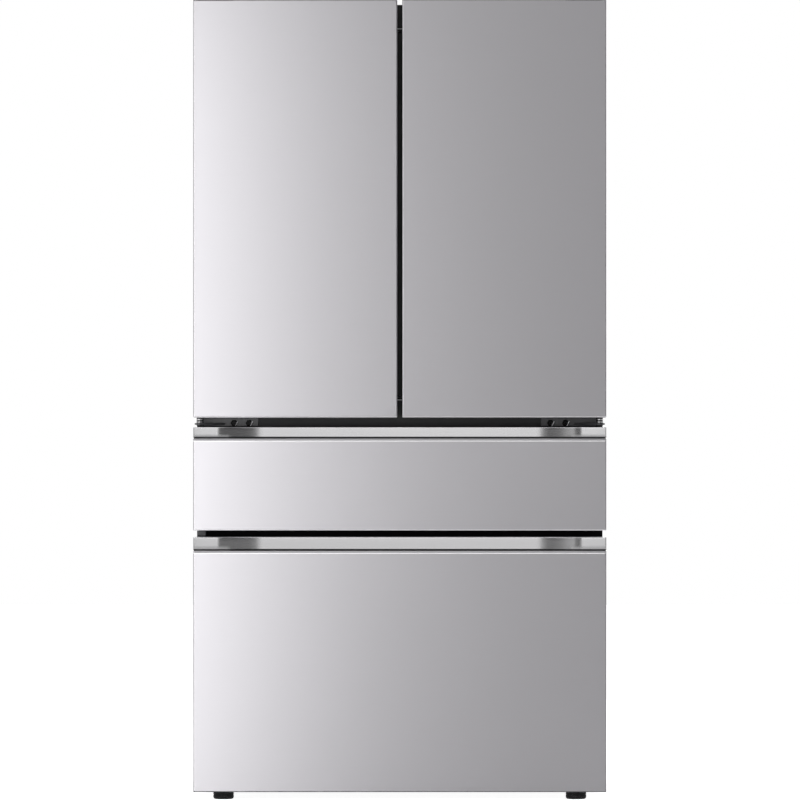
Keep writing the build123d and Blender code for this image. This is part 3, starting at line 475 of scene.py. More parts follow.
def studio_world():
    """A room whose brightness goes by compass bearing, and which the camera sees as white paper."""
    world = bpy.data.worlds.new("studio")
    bpy.context.scene.world = world
    world.use_nodes = True
    tree = world.node_tree
    room = tree.nodes["Background"]
    direction = tree.nodes.new("ShaderNodeTexCoord")
    split = tree.nodes.new("ShaderNodeSeparateXYZ")
    tree.links.new(direction.outputs["Generated"], split.inputs["Vector"])
    ahead = tree.nodes.new("ShaderNodeMath")
    ahead.operation = "MULTIPLY"
    ahead.inputs[1].default_value = -1.0
    tree.links.new(split.outputs["Y"], ahead.inputs[0])
    bearing = tree.nodes.new("ShaderNodeMath")
    bearing.operation = "ARCTAN2"
    tree.links.new(split.outputs["X"], bearing.inputs[0])
    tree.links.new(ahead.outputs["Value"], bearing.inputs[1])
    spread = tree.nodes.new("ShaderNodeMapRange")
    spread.inputs["From Min"].default_value = -math.pi
    spread.inputs["From Max"].default_value = math.pi
    tree.links.new(bearing.outputs["Value"], spread.inputs["Value"])
    ramp = tree.nodes.new("ShaderNodeValToRGB")
    stops = ramp.color_ramp.elements
    while len(stops) < len(BEARINGS):
        stops.new(0.5)
    for stop, angle, value in zip(stops, BEARINGS, BRIGHTNESS):
        stop.position = (angle + 180) / 360
        stop.color = (value, value, value, 1)
    tree.links.new(spread.outputs["Result"], ramp.inputs["Fac"])
    tree.links.new(ramp.outputs["Color"], room.inputs["Color"])
    room.inputs["Strength"].default_value = 1.0
    paper = tree.nodes.new("ShaderNodeBackground")
    paper.inputs["Color"].default_value = (1, 1, 1, 1)
    path = tree.nodes.new("ShaderNodeLightPath")
    mix = tree.nodes.new("ShaderNodeMixShader")
    tree.links.new(path.outputs["Is Camera Ray"], mix.inputs["Fac"])
    tree.links.new(room.outputs["Background"], mix.inputs[1])
    tree.links.new(paper.outputs["Background"], mix.inputs[2])
    tree.links.new(mix.outputs["Shader"], tree.nodes["World Output"].inputs["Surface"])


def light_only(light, pieces, state="INCLUDE", role="receiver_collection"):
    """Makes a light reach, or be blocked by, only these pieces, or every piece but these."""
    group = bpy.data.collections.new(f"{light}_pieces")
    for piece in pieces:
        group.objects.link(bpy.data.objects[piece])
    setattr(bpy.data.objects[light].light_linking, role, group)
    for entry in group.collection_objects:
        entry.light_linking.link_state = state


def floor():
    """A round pale floor that glows a little, so that it stays near white round the object."""
    mesh = bmesh.new()
    turn = [math.radians(a) for a in range(0, 360, 6)]
    loops = []
    for radius in (0.4, 1.0, 2.0, 4.0, 8.0, 14.0):
        loops.append([mesh.verts.new((radius * math.cos(a), radius * math.sin(a), 0)) for a in turn])
    mesh.faces.new(loops[0])
    for one, two in zip(loops, loops[1:]):
        bridge(mesh, one, two)
    data = bpy.data.meshes.new("floor")
    mesh.to_mesh(data)
    mesh.free()
    made = bpy.data.objects.new("floor", data)
    bpy.context.scene.collection.objects.link(made)
    paint = Shader("floor", (0.86, 0.86, 0.865), 0.75)
    grain = paint.texture("ShaderNodeTexNoise", Scale=30.0, Detail=5.0)
    paint.tint(grain.outputs["Fac"], 0.99, 1.01)
    paint.set("Emission Color", (1, 1, 1, 1))
    paint.link(paint.remap(grain.outputs["Fac"], 0.87, 0.91), paint.bsdf.inputs["Emission Strength"])
    data.materials.append(paint.material)


# ---------------------------------------------------------------------------- steel faces
FOLD = 12 * MM                     # how far the flanges of a face reach back
FLANGE = 4 * MM                    # height that is cut to end them there
NOTCH_X, NOTCH_Z = 44 * MM, 14 * MM    # opening for the top hinge in a door's upper corner
LIP = 6 * MM                       # depth of a drawer's pull lip, front to back
OPEN_TOP = 8 * MM                  # height that is open behind that lip
# a drawer's top edge: the drop at the face, then at the end of the round, whose depth is ROUND_RUN
ROUND_DROP, SLOPE_DROP = 6.6 * MM, 4.4 * MM
ROUND_RUN, ROUND_RADIUS = 0.51 * MM, 4.72 * MM
SLOPE = 0.466                      # depth for each height on the slope
PAINTED_HIGHLIGHT_BAND = (5.3 * MM, 7.7 * MM)     # painted highlight on the part under the slope, down from the top


def top_drop(depth):
    """Height that a drawer face loses at its top, by depth: a small round, then a slope."""
    if depth < ROUND_RUN:
        return ROUND_DROP - math.sqrt(2 * ROUND_RADIUS * depth)
    return max(0.0, SLOPE_DROP - (depth - ROUND_RUN) / SLOPE)


def steel_face(name, node, body, material, sloped=False, cut=()):
    """A folded steel face with rolled edges, open at the back."""
    (x0, x1), (front, back), (z0, z1) = limits(node)
    mesh = bmesh.new()

    def loop(y, side, bottom, top, corner):
        return ring("xz", y, ((x0 + side, x1 - side), (z0 + bottom, z1 - top)), corner, 3)

    outer, inner = SHEET, 1 * MM
    rings = [loop(back, 0, 0, 0, outer)]
    for angle in quarter(8):
        fall, depth = EDGE * (1 - math.cos(angle)), EDGE * (1 - math.sin(angle))
        top = top_drop(depth) + MM if sloped else fall
        rings.append(loop(front + depth, fall, fall, top, outer + 0.5 * fall))
    face_ring = len(rings) - 1
    rings.append(loop(front + SHEET, EDGE, EDGE, OPEN_TOP if sloped else EDGE, 2 * inner))
    rings.append(loop(front + SHEET + EDGE, SHEET, SHEET, SHEET, inner))
    rings.append(loop(back, SHEET, SHEET, SHEET, inner))
    loops = [[mesh.verts.new(p) for p in points] for points in rings]
    for one, two in zip(loops, loops[1:]):
        if one is loops[face_ring]:
            mesh.faces.new(one)
            mesh.faces.new(list(reversed(two)))
        else:
            bridge(mesh, one, two)
    bridge(mesh, loops[-1], loops[0])
    piece = finish_mesh(mesh, name, material, body, [node], sharp=25)
    if cut:
        carve(piece, cut)
    # the rolled bottom edge and the round under a drawer's slope get a lighter copy of the steel as a
    # painted highlight, and a door's top edge and the lowest edge of all get a darker copy as painted shade
    piece.data.materials.append(STEEL_PAINTED_HIGHLIGHT)
    piece.data.materials.append(STEEL_PAINTED_SHADE)
    lowest = node == "freezer_drawer_skin"
    main_face = 0.01                   # square metres; the flat front is larger
    for face in piece.data.polygons:
        place = face.center
        small = place.y < front + EDGE and face.area < main_face
        low = place.z < z0 + EDGE and face.normal.z < -0.15
        high = sloped and PAINTED_HIGHLIGHT_BAND[0] < z1 - place.z < PAINTED_HIGHLIGHT_BAND[1] and face.normal.z > 0.1
        top = not sloped and place.z > z1 - EDGE and face.normal.z > 0.15
        # painted highlight on the lit edges, painted shade on the lowest edge and on the door tops
        if small and (low or high):
            face.material_index = 2 if low and lowest else 1
        elif small and top:
            face.material_index = 2


def door_faces():
    """Both doors' faces, cut open behind their flanges and at the top hinge."""
    for name, side in (("left", LEFT), ("right", RIGHT)):
        (x0, x1), (front, back), (z0, z1) = limits(f"{name}_door_skin")
        behind = (front + FOLD, back + MM)
        notch = (x0 - MM, x0 + NOTCH_X) if side == LEFT else (x1 - NOTCH_X, x1 + MM)
        inner = (x0 + SHEET, x1 - SHEET)
        cuts = [(notch, behind, (z1 - NOTCH_Z, z1 + MM)), (inner, behind, (z1 - FLANGE, z1 + MM)),
                (inner, behind, (z0 - MM, z0 + FLANGE))]
        steel_face(f"{name}_door_face", f"{name}_door_skin", f"{name}_door", STEEL, cut=cuts)


def drawer_faces():
    """Both drawers' faces, cut open behind the pull lip and the lower flange."""
    for name in ("middle", "freezer"):
        (x0, x1), (front, back), (z0, z1) = limits(f"{name}_drawer_skin")
        inner = (x0 + SHEET, x1 - SHEET)
        cuts = [(inner, (front + LIP, back + MM), (z1 - OPEN_TOP, z1 + MM)),
                (inner, (front + FOLD, back + MM), (z0 - MM, z0 + FLANGE))]
        steel_face(f"{name}_drawer_face", f"{name}_drawer_skin", f"{name}_drawer", STEEL, True, cuts)


# ---------------------------------------------------------------------------- handle strips
POCKET_HALF = 393 * MM             # half the pocket's width
POCKET_BLEND = 95 * MM             # length of its curve at each end
POCKET_DEPTH = 22 * MM
STRIP_LIFT = 1.4 * MM              # from the steel face's top to the strip's lower edge
STRIP_EDGE = 1.8 * MM
STRIP_END = 2 * MM                 # rounded stretch at each end
CHANNEL_FLOOR = 4 * MM


def pocket_curve(x):
    """The S curve before it is eased."""
    t = min(1.0, max(0.0, (POCKET_HALF - abs(x)) / POCKET_BLEND)) ** 0.6
    return POCKET_DEPTH * t * t * (3 - 2 * t)


def pocket_depth(x):
    """How far the strip lies behind the steel face at x: a skewed S curve, eased where it starts."""
    around = [pocket_curve(x + step * MM) for step in range(-10, 11, 2)]
    return sum(around) / len(around)


def handle(name):
    """A drawer's pull strip with its pocket, and the finger channel behind the steel face's top."""
    node = f"{name}_drawer_handle"
    skin = limits(f"{name}_drawer_skin")
    (x0, x1), (front, back), (z0, z1) = limits(node)
    low = skin[2][1] + STRIP_LIFT
    floor_z = z0 + CHANNEL_FLOOR
    # places along the left half, close together at the end and on the curve, then mirrored
    margin, steps = 12 * MM, 56
    stations = [x0, x0 + 0.3 * MM, x0 + 1 * MM, x0 + STRIP_END, x0 + 20 * MM]
    stations += [-POCKET_HALF - margin + (POCKET_BLEND + 2 * margin) * n / steps for n in range(steps + 1)]
    stations += [-200 * MM, -100 * MM]
    stations = sorted(set(stations + [-v for v in stations] + [0.0]))
    edge = STRIP_EDGE
    mesh = bmesh.new()
    loops = []
    for x in stations:
        depth = pocket_depth(x)
        end = max(0.0, 1 - min(x - x0, x1 - x) / STRIP_END)
        y = front + depth + 1.6 * MM * (1 - math.sqrt(max(0.0, 1 - end * end)))
        # the bottom edge opens into the finger channel where the pocket is deeper than the lip
        open_part = min(1.0, max(0.0, (depth - LIP) / (3 * MM)))
        base = low + (floor_z - low) * open_part
        loop = [(x, back, z1)]
        loop += [(x, y + edge * (1 - math.sin(t)), z1 - edge * (1 - math.cos(t)))
                 for t in quarter(5)]
        loop += [(x, y, z1 - edge - (z1 - 2 * edge - low) * t) for t in (0.33, 0.66, 1.0)]
        loop += [(x, y + 0.3 * edge * (1 - open_part), base + edge * 0.3 + (low - base) * 0.05),
                 (x, y + edge * (1 - open_part), base), (x, back, base)]
        loops.append(loop)
    add_loft(mesh, loops)
    strip = finish_mesh(mesh, f"{name}_handle_strip", HANDLE, f"{name}_drawer", [node], sharp=50)
    # below its last full row the strip turns under into the dark finger channel; where the strip is flush,
    # this also makes its own rounded lower edge dark, as a painted shade line under the strip
    strip.data.materials.append(DARK_PLASTIC)
    for face in strip.data.polygons:
        if face.center.z < low + 0.9 * edge:
            face.material_index = 1
    # the lip's back, the floor of the finger channel and the blocks that end it
    mesh = bmesh.new()
    inner = (x0 + SHEET, x1 - SHEET)
    add_box(mesh, inner, (front + 4 * MM, front + LIP - 0.2 * MM), (z0, low - 7.5 * MM), 0.6 * MM)
    add_box(mesh, inner, (front + SHEET + MM, back), (z0, floor_z), 0.6 * MM)
    for side in (LEFT, RIGHT):
        x = sorted((side * (POCKET_HALF - 20 * MM), side * (x1 - SHEET)))
        add_box(mesh, x, (front + LIP, back), (floor_z, low - 0.2 * MM), 0.6 * MM)
    finish_mesh(mesh, f"{name}_handle_channel", DARK_PLASTIC, f"{name}_drawer")


def gap_painted_shade():
    """A matt near-black, almost glossless sheet laid on the black case front in the gap between the drawers,
    as painted shade for the gap, and the cap of its stop block.
    """
    low = limits("freezer_drawer_handle")[2][1]
    high = limits("middle_drawer_skin")[2][0]
    overlap, clearance = 4 * MM, 1.6 * MM
    # the sheet over the case front: painted shade in the gap
    mesh = bmesh.new()
    add_box(mesh, limits("face_frame")[0], (CASE_FRONT - 0.9 * MM, CASE_FRONT - 0.1 * MM),
            (low - overlap, high + overlap), 0.3 * MM)
    finish_mesh(mesh, "drawer_gap_painted_shade", GAP_SHADE_SHEET, "cabinet")
    mesh = bmesh.new()
    add_box(mesh, (-447.6 * MM, -428 * MM), (CASE_FRONT - 8.6 * MM, CASE_FRONT - 0.5 * MM),
            (low + clearance, high - clearance), 1.2 * MM, 3)
    finish_mesh(mesh, "drawer_stop_cap", DARK_PLASTIC, "cabinet")


# ---------------------------------------------------------------------------- gaskets
def gasket(body):
    """Magnetic gasket of a door or drawer: a wide pocket with a bellows fold down each side."""
    node = f"{body}_gasket"
    (x0, x1), (y0, y1), (z0, z1) = limits(node)
    width = 14 * MM
    sides = ((x0, x1), (z0, z1))
    deep = y1 - y0
    profile = [(0.0, y0), (0.5 * MM, y0 + 0.30 * deep), (2.2 * MM, y0 + 0.40 * deep),
               (0.4 * MM, y0 + 0.52 * deep), (0.0, y0 + 0.78 * deep), (0.8 * MM, y0 + 0.96 * deep),
               (2.0 * MM, y1), (width - 2.0 * MM, y1), (width - 0.8 * MM, y0 + 0.95 * deep),
               (width, y0 + 0.78 * deep), (width - 0.6 * MM, y0 + 0.52 * deep),
               (width - 2.4 * MM, y0 + 0.42 * deep), (width - 0.5 * MM, y0 + 0.3 * deep), (width, y0)]
    mesh = bmesh.new()
    add_sweep(mesh, profile, sides, "xz", 3 * MM, 4)
    finish_mesh(mesh, node.replace("gasket", "seal"), RUBBER, body, [node], sharp=50)


# ---------------------------------------------------------------------------- door insides
LINER_FLAT = 73.8 * MM             # from a liner's front to the flat round its rim
RIM_Z = (895 * MM, 1690 * MM)
RIM_X = (50 * MM, 392 * MM)        # inner and outer side, from the middle of the case
RIM_W = 16 * MM
BIN_FLOORS = (925 * MM, 1190 * MM, 1455 * MM)
BIN_HIGH = 105 * MM


def door_liner(name, side):
    """Moulded inner door: flat flange, raised rim with rounded shoulders and a sunk middle."""
    node = f"{name}_door_liner"
    x, (front, rim_back), z = limits(node)
    core = (x, z)
    rim = (sorted((side * RIM_X[0], side * RIM_X[1])), RIM_Z)
    door_back = front + LINER_FLAT
    mesh = bmesh.new()
    shoulder = 5 * MM
    rings = [ring("xz", front, core, 1 * MM), ring("xz", door_back, core, 1 * MM),
             ring("xz", door_back, inset(rim, -3 * MM), 22 * MM),
             ring("xz", door_back + 3 * MM, rim, 20 * MM)]
    for angle in quarter(4):
        rings.append(ring("xz", rim_back - shoulder * (1 - math.sin(angle)),
                          inset(rim, shoulder * (1 - math.cos(angle))), 20 * MM))
    hollow = inset(rim, RIM_W)
    for angle in quarter(4):
        rings.append(ring("xz", rim_back - shoulder * (1 - math.cos(angle)),
                          inset(hollow, -shoulder * (1 - math.sin(angle))), 12 * MM))
    rings += [ring("xz", door_back + 6 * MM, inset(hollow, 1 * MM), 12 * MM),
              ring("xz", door_back + 1.5 * MM, inset(hollow, 6 * MM), 10 * MM)]
    add_loft(mesh, rings)
    # lugs that hold the bins
    for lift in BIN_FLOORS:
        for end in (0, 1):
            edge = hollow[0][end]
            reach = 1.6 * MM if end == 0 else -1.6 * MM
            add_box(mesh, sorted((edge, edge + reach)), (door_back + 12 * MM, rim_back - 6 * MM),
                    (lift - 12 * MM, lift - 2 * MM), 0.7 * MM)
    finish_mesh(mesh, f"{name}_door_inner", WHITE, f"{name}_door", [node], sharp=40)


def door_bins(name):
    """A door's three clear bins, each with a rim trim."""
    node = f"{name}_door_bins"
    x, y, _ = limits(node)
    for k, low in enumerate(BIN_FLOORS):
        high = low + BIN_HIGH
        part = f"{name}_bin_{k + 1}"
        nodes = [node] if k == 0 else ()
        container(part, (x[0] + 2 * MM, x[1] - 2 * MM), (y[0], y[1]), (low, high), 2.2 * MM, CLEAR,
                  f"{name}_door", nodes, draft=3 * MM, corner=16 * MM, lip=1.5 * MM, bevel=6 * MM)
        mesh = bmesh.new()
        add_box(mesh, x, (y[1] - 8 * MM, y[1] + 0.4 * MM), (high - 26 * MM, high + 1 * MM), 1.6 * MM, 3)
        for end in x:
            reach = sorted((end, end + (2.4 * MM if end == x[0] else -2.4 * MM)))
            add_box(mesh, reach, (y[0] + 6 * MM, y[1] - 6 * MM), (high - 30 * MM, high - 14 * MM), 1 * MM)
        finish_mesh(mesh, f"{part}_trim", TRIM_GREY, f"{name}_door")


KNUCKLES = (1020 * MM, 1293 * MM, 1566 * MM)   # middles of the mullion's hinge knuckles
KNUCKLE_HALF = 20 * MM
KNUCKLE_RADIUS = 5 * MM
EAR_END = 30 * MM                  # from a knuckle's middle to the far end of the ears beside it
LEAF_HALF = 3 * MM


def mullion():
    """Flip mullion: a bar with its knuckles and backing, the ears on the left door, and two stops."""
    (x0, x1), (y0, y1), (z0, z1) = limits("flip_mullion")
    bar_x = (x0 + 11 * MM, x1)
    pivot = (x0 + 5 * MM, y0 + 10 * MM, 0)
    leaf_y = (pivot[1] - LEAF_HALF, pivot[1] + LEAF_HALF)
    mesh = bmesh.new()
    sides = (bar_x, (y0, y1))
    caps = [(z0, 2.2 * MM), (z0 + 2 * MM, 0), (z1 - 2 * MM, 0), (z1, 2.2 * MM)]
    add_loft(mesh, [ring("xy", level, inset(sides, by), 3 * MM) for level, by in caps])
    bar = finish_mesh(mesh, "mullion_bar", FRAME_PAINT, "mullion", ["flip_mullion"])
    # notches in the bar that the ears fold into
    notches = []
    for z in KNUCKLES:
        for end in (-1, 1):
            low = z + end * 25 * MM - 10 * MM
            notches.append(((bar_x[0] - MM, bar_x[0] + 3 * MM), (y0 - MM, y1 + MM), (low, low + 20 * MM)))
    carve(bar, notches)
    mesh = bmesh.new()
    for z in KNUCKLES:
        for low, high in ((z - KNUCKLE_HALF, z - 0.4 * MM), (z + 0.4 * MM, z + KNUCKLE_HALF)):
            add_lathe(mesh, barrel(KNUCKLE_RADIUS, low, high, 0.6 * MM, MM), pivot, "z", 20)
        leaf_z = (z - KNUCKLE_HALF + MM, z + KNUCKLE_HALF - MM)
        add_box(mesh, (pivot[0], bar_x[0] + 2 * MM), leaf_y, leaf_z, 0.8 * MM)
    finish_mesh(mesh, "mullion_knuckles", ZINC, "mullion")
    mesh = bmesh.new()
    for z in KNUCKLES:
        for end in (-1, 1):
            low, high = sorted((z + end * (KNUCKLE_HALF + 0.4 * MM), z + end * EAR_END))
            add_lathe(mesh, barrel(KNUCKLE_RADIUS, low, high, 0.4 * MM, 0.6 * MM), pivot, "z", 20)
            add_box(mesh, (-RIM_X[0], pivot[0]), leaf_y, (low, high), 0.8 * MM)
    finish_mesh(mesh, "mullion_ears", ZINC, "left_door")
    mesh = bmesh.new()
    add_box(mesh, (bar_x[0] + 8 * MM, bar_x[1] - 8 * MM), (y1 - 0.3 * MM, y1), (z0 + 30 * MM, z1 - 30 * MM),
            0.1 * MM)
    finish_mesh(mesh, "mullion_backing", DARK_PLASTIC, "mullion")
    # dark stops over and under the bar, on the case
    mesh = bmesh.new()
    for low, high in ((z1 + 1.5 * MM, z1 + 11 * MM), (z0 - 11 * MM, z0 - 1.5 * MM)):
        add_box(mesh, (-30 * MM, 30 * MM), (y0 + 0.1 * MM, y0 + 8 * MM), (low, high), 0.8 * MM, 3)
    finish_mesh(mesh, "mullion_stops", FRAME_PAINT, "cabinet")


# ---------------------------------------------------------------------------- feet and hinges
PAD_TOP = 16 * MM                  # top of a foot's round pad, above the floor
NUT_TOP = 24 * MM
PITCH = 1.5 * MM                   # of the stud's thread


def foot(name):
    """Levelling leg: a round pad with a groove and a hexagon on it, and the threaded stud."""
    node = f"{name}_levelling_leg"
    (x0, x1), (y0, y1), (_, top) = limits(node)
    centre = ((x0 + x1) / 2, (y0 + y1) / 2, 0)
    radius = (x1 - x0) / 2
    sole, groove = 5 * MM, 0.7 * MM
    profile = [(ON_AXIS, 0)]
    profile += [(radius - sole + sole * math.sin(t), sole - sole * math.cos(t)) for t in quarter(6)]
    profile += [(radius, 9 * MM), (radius - groove, 9.6 * MM), (radius - groove, 10.6 * MM),
                (radius, 11.2 * MM), (radius, 14 * MM), (radius - 2 * MM, PAD_TOP), (ON_AXIS, PAD_TOP)]
    mesh = bmesh.new()
    add_lathe(mesh, profile, centre, "z", 48)
    add_lathe(mesh, [(ON_AXIS, PAD_TOP), (11 * MM, PAD_TOP), (11 * MM, NUT_TOP - MM),
                     (10 * MM, NUT_TOP), (ON_AXIS, NUT_TOP)], centre, "z", 6)
    finish_mesh(mesh, f"{name}_foot", FOOT_BLACK, f"{name}_leg", [node])
    thread = [(ON_AXIS, NUT_TOP)]
    for n in range(int((top - NUT_TOP) / PITCH)):
        thread += [(6 * MM, NUT_TOP + (n + 0.25) * PITCH), (5.2 * MM, NUT_TOP + (n + 0.75) * PITCH)]
    thread += [(5 * MM, top), (ON_AXIS, top)]
    mesh = bmesh.new()
    add_lathe(mesh, thread, centre, "z", 20)
    finish_mesh(mesh, f"{name}_foot_stud", ZINC, f"{name}_leg")


def roller(name):
    """Rear roller: a wheel with a dished web. Its ends are flat over the axle's bore."""
    node = f"{name}_rear_roller"
    (x0, x1), (y0, y1), (z0, z1) = limits(node)
    centre = ((x0 + x1) / 2, (y0 + y1) / 2, (z0 + z1) / 2)
    half, radius, hub = (x1 - x0) / 2, (z1 - z0) / 2, 3.05 * MM
    one_side = [(hub, half), (radius - 6 * MM, half), (radius - 5 * MM, half - 1.5 * MM),
                (radius - 2 * MM, half - 0.2 * MM), (radius, half - 2 * MM)]
    profile = [(r, -along) for r, along in one_side] + one_side[::-1]
    mesh = bmesh.new()
    add_lathe(mesh, profile, centre, "x", 40)
    finish_mesh(mesh, f"{name}_roller_wheel", BLACK_PLASTIC, f"{name}_roller", [node])


GAP = (824.5 * MM, 843.5 * MM)     # under the doors, where the centre brackets show
BRACKET_X = (312 * MM, 433 * MM)
BRACKET_SHEET = 4 * MM
PLATE = (828 * MM, 832 * MM)       # the bracket's arm that carries the pin
BOLT_X = (333 * MM, 366 * MM)
TOP_BOLTS = ((430 * MM, -290 * MM), (395 * MM, -320 * MM), (395 * MM, -265 * MM))


def pin_arc(side, radius, start, end):
    """Outline points round a hinge pin, from start to end degrees."""
    return [(side * (PIN_X + radius * math.cos(t)), PIN_Y + radius * math.sin(t))
            for t in [math.radians(a) for a in range(start, end, 15)]]


def bracket(mesh, side):
    """Pressed centre bracket: a plate on the case and the arm that carries the door's pin."""
    face = CASE_FRONT - BRACKET_SHEET
    add_box(mesh, sorted((side * BRACKET_X[0], side * BRACKET_X[1])), (face, CASE_FRONT), GAP, 1.2 * MM, 3)
    outline = pin_arc(side, 11 * MM, -150, 21)
    outline += [(side * BRACKET_X[1], face + MM), (side * 385 * MM, face + MM)]
    middle = (side * 425 * MM, -375 * MM)
    loops = []
    for level, shrink in ((PLATE[0], 0.97), (PLATE[0] + MM, 1.0), (PLATE[1] - MM, 1.0), (PLATE[1], 0.97)):
        loops.append([(middle[0] + (x - middle[0]) * shrink, middle[1] + (y - middle[1]) * shrink, level)
                      for x, y in outline])
    add_loft(mesh, loops)


def centre_hinges():
    """Brackets with two bolts and lock tabs a side, the bush and rings under each door, and all screws."""
    pin_top = limits("centre_hinges")[2][1]
    brackets = bmesh.new()
    bushes = bmesh.new()
    bolts = bmesh.new()
    rings = bmesh.new()
    lock_tabs = bmesh.new()
    bolt_head = [(ON_AXIS, 0), (8 * MM, 0), (8 * MM, -1 * MM), (6.4 * MM, -1.2 * MM),
                 (6.4 * MM, -3.4 * MM), (5.4 * MM, -4.2 * MM), (3.2 * MM, -4.2 * MM),
                 (2.8 * MM, -2 * MM), (ON_AXIS, -2 * MM)]
    bush = [(ON_AXIS, 825 * MM), (5.2 * MM, 825 * MM), (6.5 * MM, 826 * MM), (6.5 * MM, 843.4 * MM),
            (5 * MM, 844 * MM), (5 * MM, pin_top - MM), (4 * MM, pin_top), (ON_AXIS, pin_top)]
    for side in (LEFT, RIGHT):
        bracket(brackets, side)
        for bolt_x in BOLT_X:
            place = (side * bolt_x, CASE_FRONT - BRACKET_SHEET, GAP[0] + 7.2 * MM)
            add_lathe(bolts, bolt_head, place, "y", 6)
            # bright turned-up tab of the lock plate beside each bolt
            x, y = place[0] + 6 * MM, place[1] - 3 * MM
            add_tube(lock_tabs, [(x - 3 * MM, y, GAP[0] + 1.5 * MM), (x + 2.5 * MM, y, GAP[0] + 11 * MM)],
                     1.2 * MM, 8)
        pin = (side * PIN_X, PIN_Y, 0)
        add_lathe(bushes, bush, pin, "z", 28)
        for low in (833 * MM, 838.5 * MM):
            add_lathe(rings, barrel(7 * MM, low, low + 2.5 * MM, 0.4 * MM, 0.5 * MM), pin, "z", 28)
    finish_mesh(brackets, "centre_brackets", BRACKET_PAINT, "cabinet", ["centre_hinges"])
    finish_mesh(bushes, "centre_bushes", BLACK_PLASTIC, "cabinet")
    finish_mesh(rings, "centre_rings", BRIGHT, "cabinet")
    finish_mesh(lock_tabs, "centre_lock_tabs", TAB, "cabinet")
    screw_top = limits("hinge_screws")[2][1]
    for x, y in TOP_BOLTS:
        for side in (LEFT, RIGHT):
            add_lathe(bolts, [(ON_AXIS, screw_top - 5 * MM), (6 * MM, screw_top - 5 * MM),
                              (6 * MM, screw_top - MM), (5.2 * MM, screw_top), (ON_AXIS, screw_top)],
                      (side * x, y, 0), "z", 6)
    finish_mesh(bolts, "hinge_bolts", BLACK_ZINC, "cabinet", ["hinge_screws"])


ARM_SHEET = 4 * MM
ARM_X = (373 * MM, 449 * MM)       # plate of a top hinge arm
ARM_Y = (-338 * MM, -246 * MM)
COVER_X = (364 * MM, 452 * MM)


def top_hinges():
    """Hinge arms with their pins, and the moulded covers over them."""
    (_, _), (_, _), (z0, z1) = limits("top_hinges")
    (_, _), (y0, y1), (c0, c1) = limits("hinge_covers")
    base = z1 - ARM_SHEET
    soften, crown = 0.5 * MM, 5 * MM
    arms = bmesh.new()
    covers = bmesh.new()
    for side in (LEFT, RIGHT):
        outline = pin_arc(side, 12 * MM, -180, 1)
        outline += [(side * (PIN_X + 12 * MM), ARM_Y[0]), (side * ARM_X[1], ARM_Y[0] + 2 * MM),
                    (side * ARM_X[1], ARM_Y[1]), (side * ARM_X[0], ARM_Y[1]),
                    (side * ARM_X[0], ARM_Y[0]), (side * (PIN_X - 12 * MM), ARM_Y[0])]
        levels = (base, base + soften, z1 - soften, z1)
        add_loft(arms, [[(x, y, level) for x, y in outline] for level in levels])
        add_lathe(arms, [(ON_AXIS, z0), (4 * MM, z0), (5 * MM, z0 + MM), (5 * MM, base + MM),
                         (ON_AXIS, base + MM)], (side * PIN_X, PIN_Y, 0), "z", 28)
        sides = (sorted((side * COVER_X[0], side * COVER_X[1])), (y0, y1))
        rings = [ring("xy", c1 - 2 * MM, inset(sides, crown), 5 * MM),
                 ring("xy", c0, inset(sides, 2 * MM), 4 * MM), ring("xy", c0, sides, 6 * MM)]
        for t in quarter(6):
            inward = crown * (1 - math.cos(t))
            rings.append(ring("xy", c1 - crown * (1 - math.sin(t)), inset(sides, inward), 6 * MM))
        add_loft(covers, rings)
    finish_mesh(arms, "hinge_arms", BRACKET_PAINT, "cabinet", ["top_hinges"])
    finish_mesh(covers, "hinge_caps", BLACK_PLASTIC, "cabinet", ["hinge_covers"])


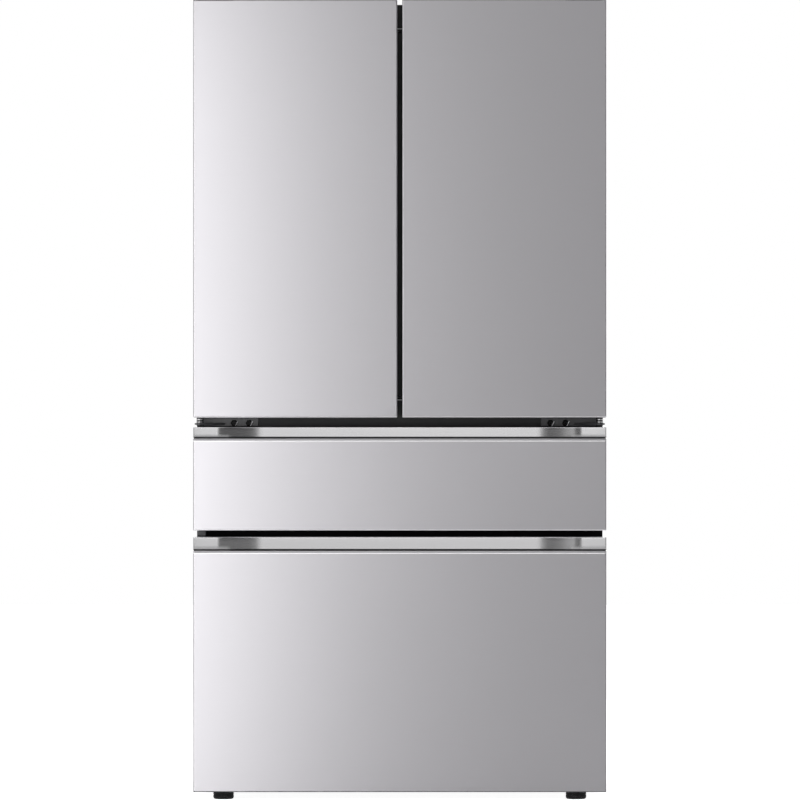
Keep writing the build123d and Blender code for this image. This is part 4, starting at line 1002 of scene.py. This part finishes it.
# ---------------------------------------------------------------------------- carried-over CAD nodes
CARRIED = {
    "face_frame": FRAME_PAINT, "base_frame": BASE_PAINT, "back_panel": BACK_ZINC, "machine_cover": BACK_ZINC,
    "foam_insulation": FOAM, "fresh_food_liner": WHITE, "middle_liner": WHITE, "freezer_liner": WHITE,
    "rear_duct_panel": WHITE_DULL, "evaporator_cover": WHITE_DULL, "evaporator_coil": TUBE,
    "evaporator_fan": BLACK_PLASTIC, "condenser_fan": BLACK_PLASTIC, "condenser_fan_frame": BLACK_PLASTIC,
    "condenser_coil": COMPRESSOR_PAINT, "compressor": COMPRESSOR_PAINT, "water_inlet_valve": WHITE_DULL,
    "power_cord_gland": CORD_RUBBER, "left_door_caps": DARK_PLASTIC, "right_door_caps": DARK_PLASTIC,
    "cabinet_slide_rails": ZINC, "middle_drawer_slides": ZINC, "freezer_drawer_slides": ZINC,
    "middle_drawer_liner": WHITE, "freezer_drawer_liner": WHITE, "control_panel": GLOSS_BLACK,
    "ceiling_light": LAMP, "crisper_cover": TRIM_GREY, "shelf_frames": TRIM_GREY,
    "sliding_shelf_frame": TRIM_GREY, "shelf_glass": GLASS, "sliding_shelf": GLASS,
    "crisper_drawers": CLEAR, "middle_drawer_bin": CLEAR, "freezer_drawer_basket": CLEAR,
    "freezer_tray": CLEAR, "cabinet_wrapper": CASE_PAINT,
}


def carried_nodes():
    """The CAD nodes that stay as they are get their own materials."""
    for node, material in CARRIED.items():
        data = NODES[node].data
        data.materials.clear()
        data.materials.append(material)


camera_and_light()
floor()
carried_nodes()
door_faces()
drawer_faces()
handle("middle")
handle("freezer")
gap_painted_shade()
for sealed_body in ("left_door", "right_door", "middle_drawer", "freezer_drawer"):
    gasket(sealed_body)
for door, door_side in (("left", LEFT), ("right", RIGHT)):
    door_liner(door, door_side)
    door_bins(door)
mullion()
for corner_side in ("left", "right"):
    foot(corner_side)
    roller(corner_side)
centre_hinges()
top_hinges()

STRIPS = ["middle_handle_strip", "freezer_handle_strip"]
DRAWER_FACES = ["middle_drawer_face", "freezer_drawer_face"]
DOOR_FACES = ["left_door_face", "right_door_face"]
light_only("key", STRIPS, "EXCLUDE")
light_only("key", ["floor"], "EXCLUDE", "blocker_collection")
light_only("floor", STRIPS + DRAWER_FACES + DOOR_FACES, "EXCLUDE")
light_only("low_edge", DOOR_FACES + ["middle_drawer_face"])
light_only("high_edge", STRIPS + DRAWER_FACES)
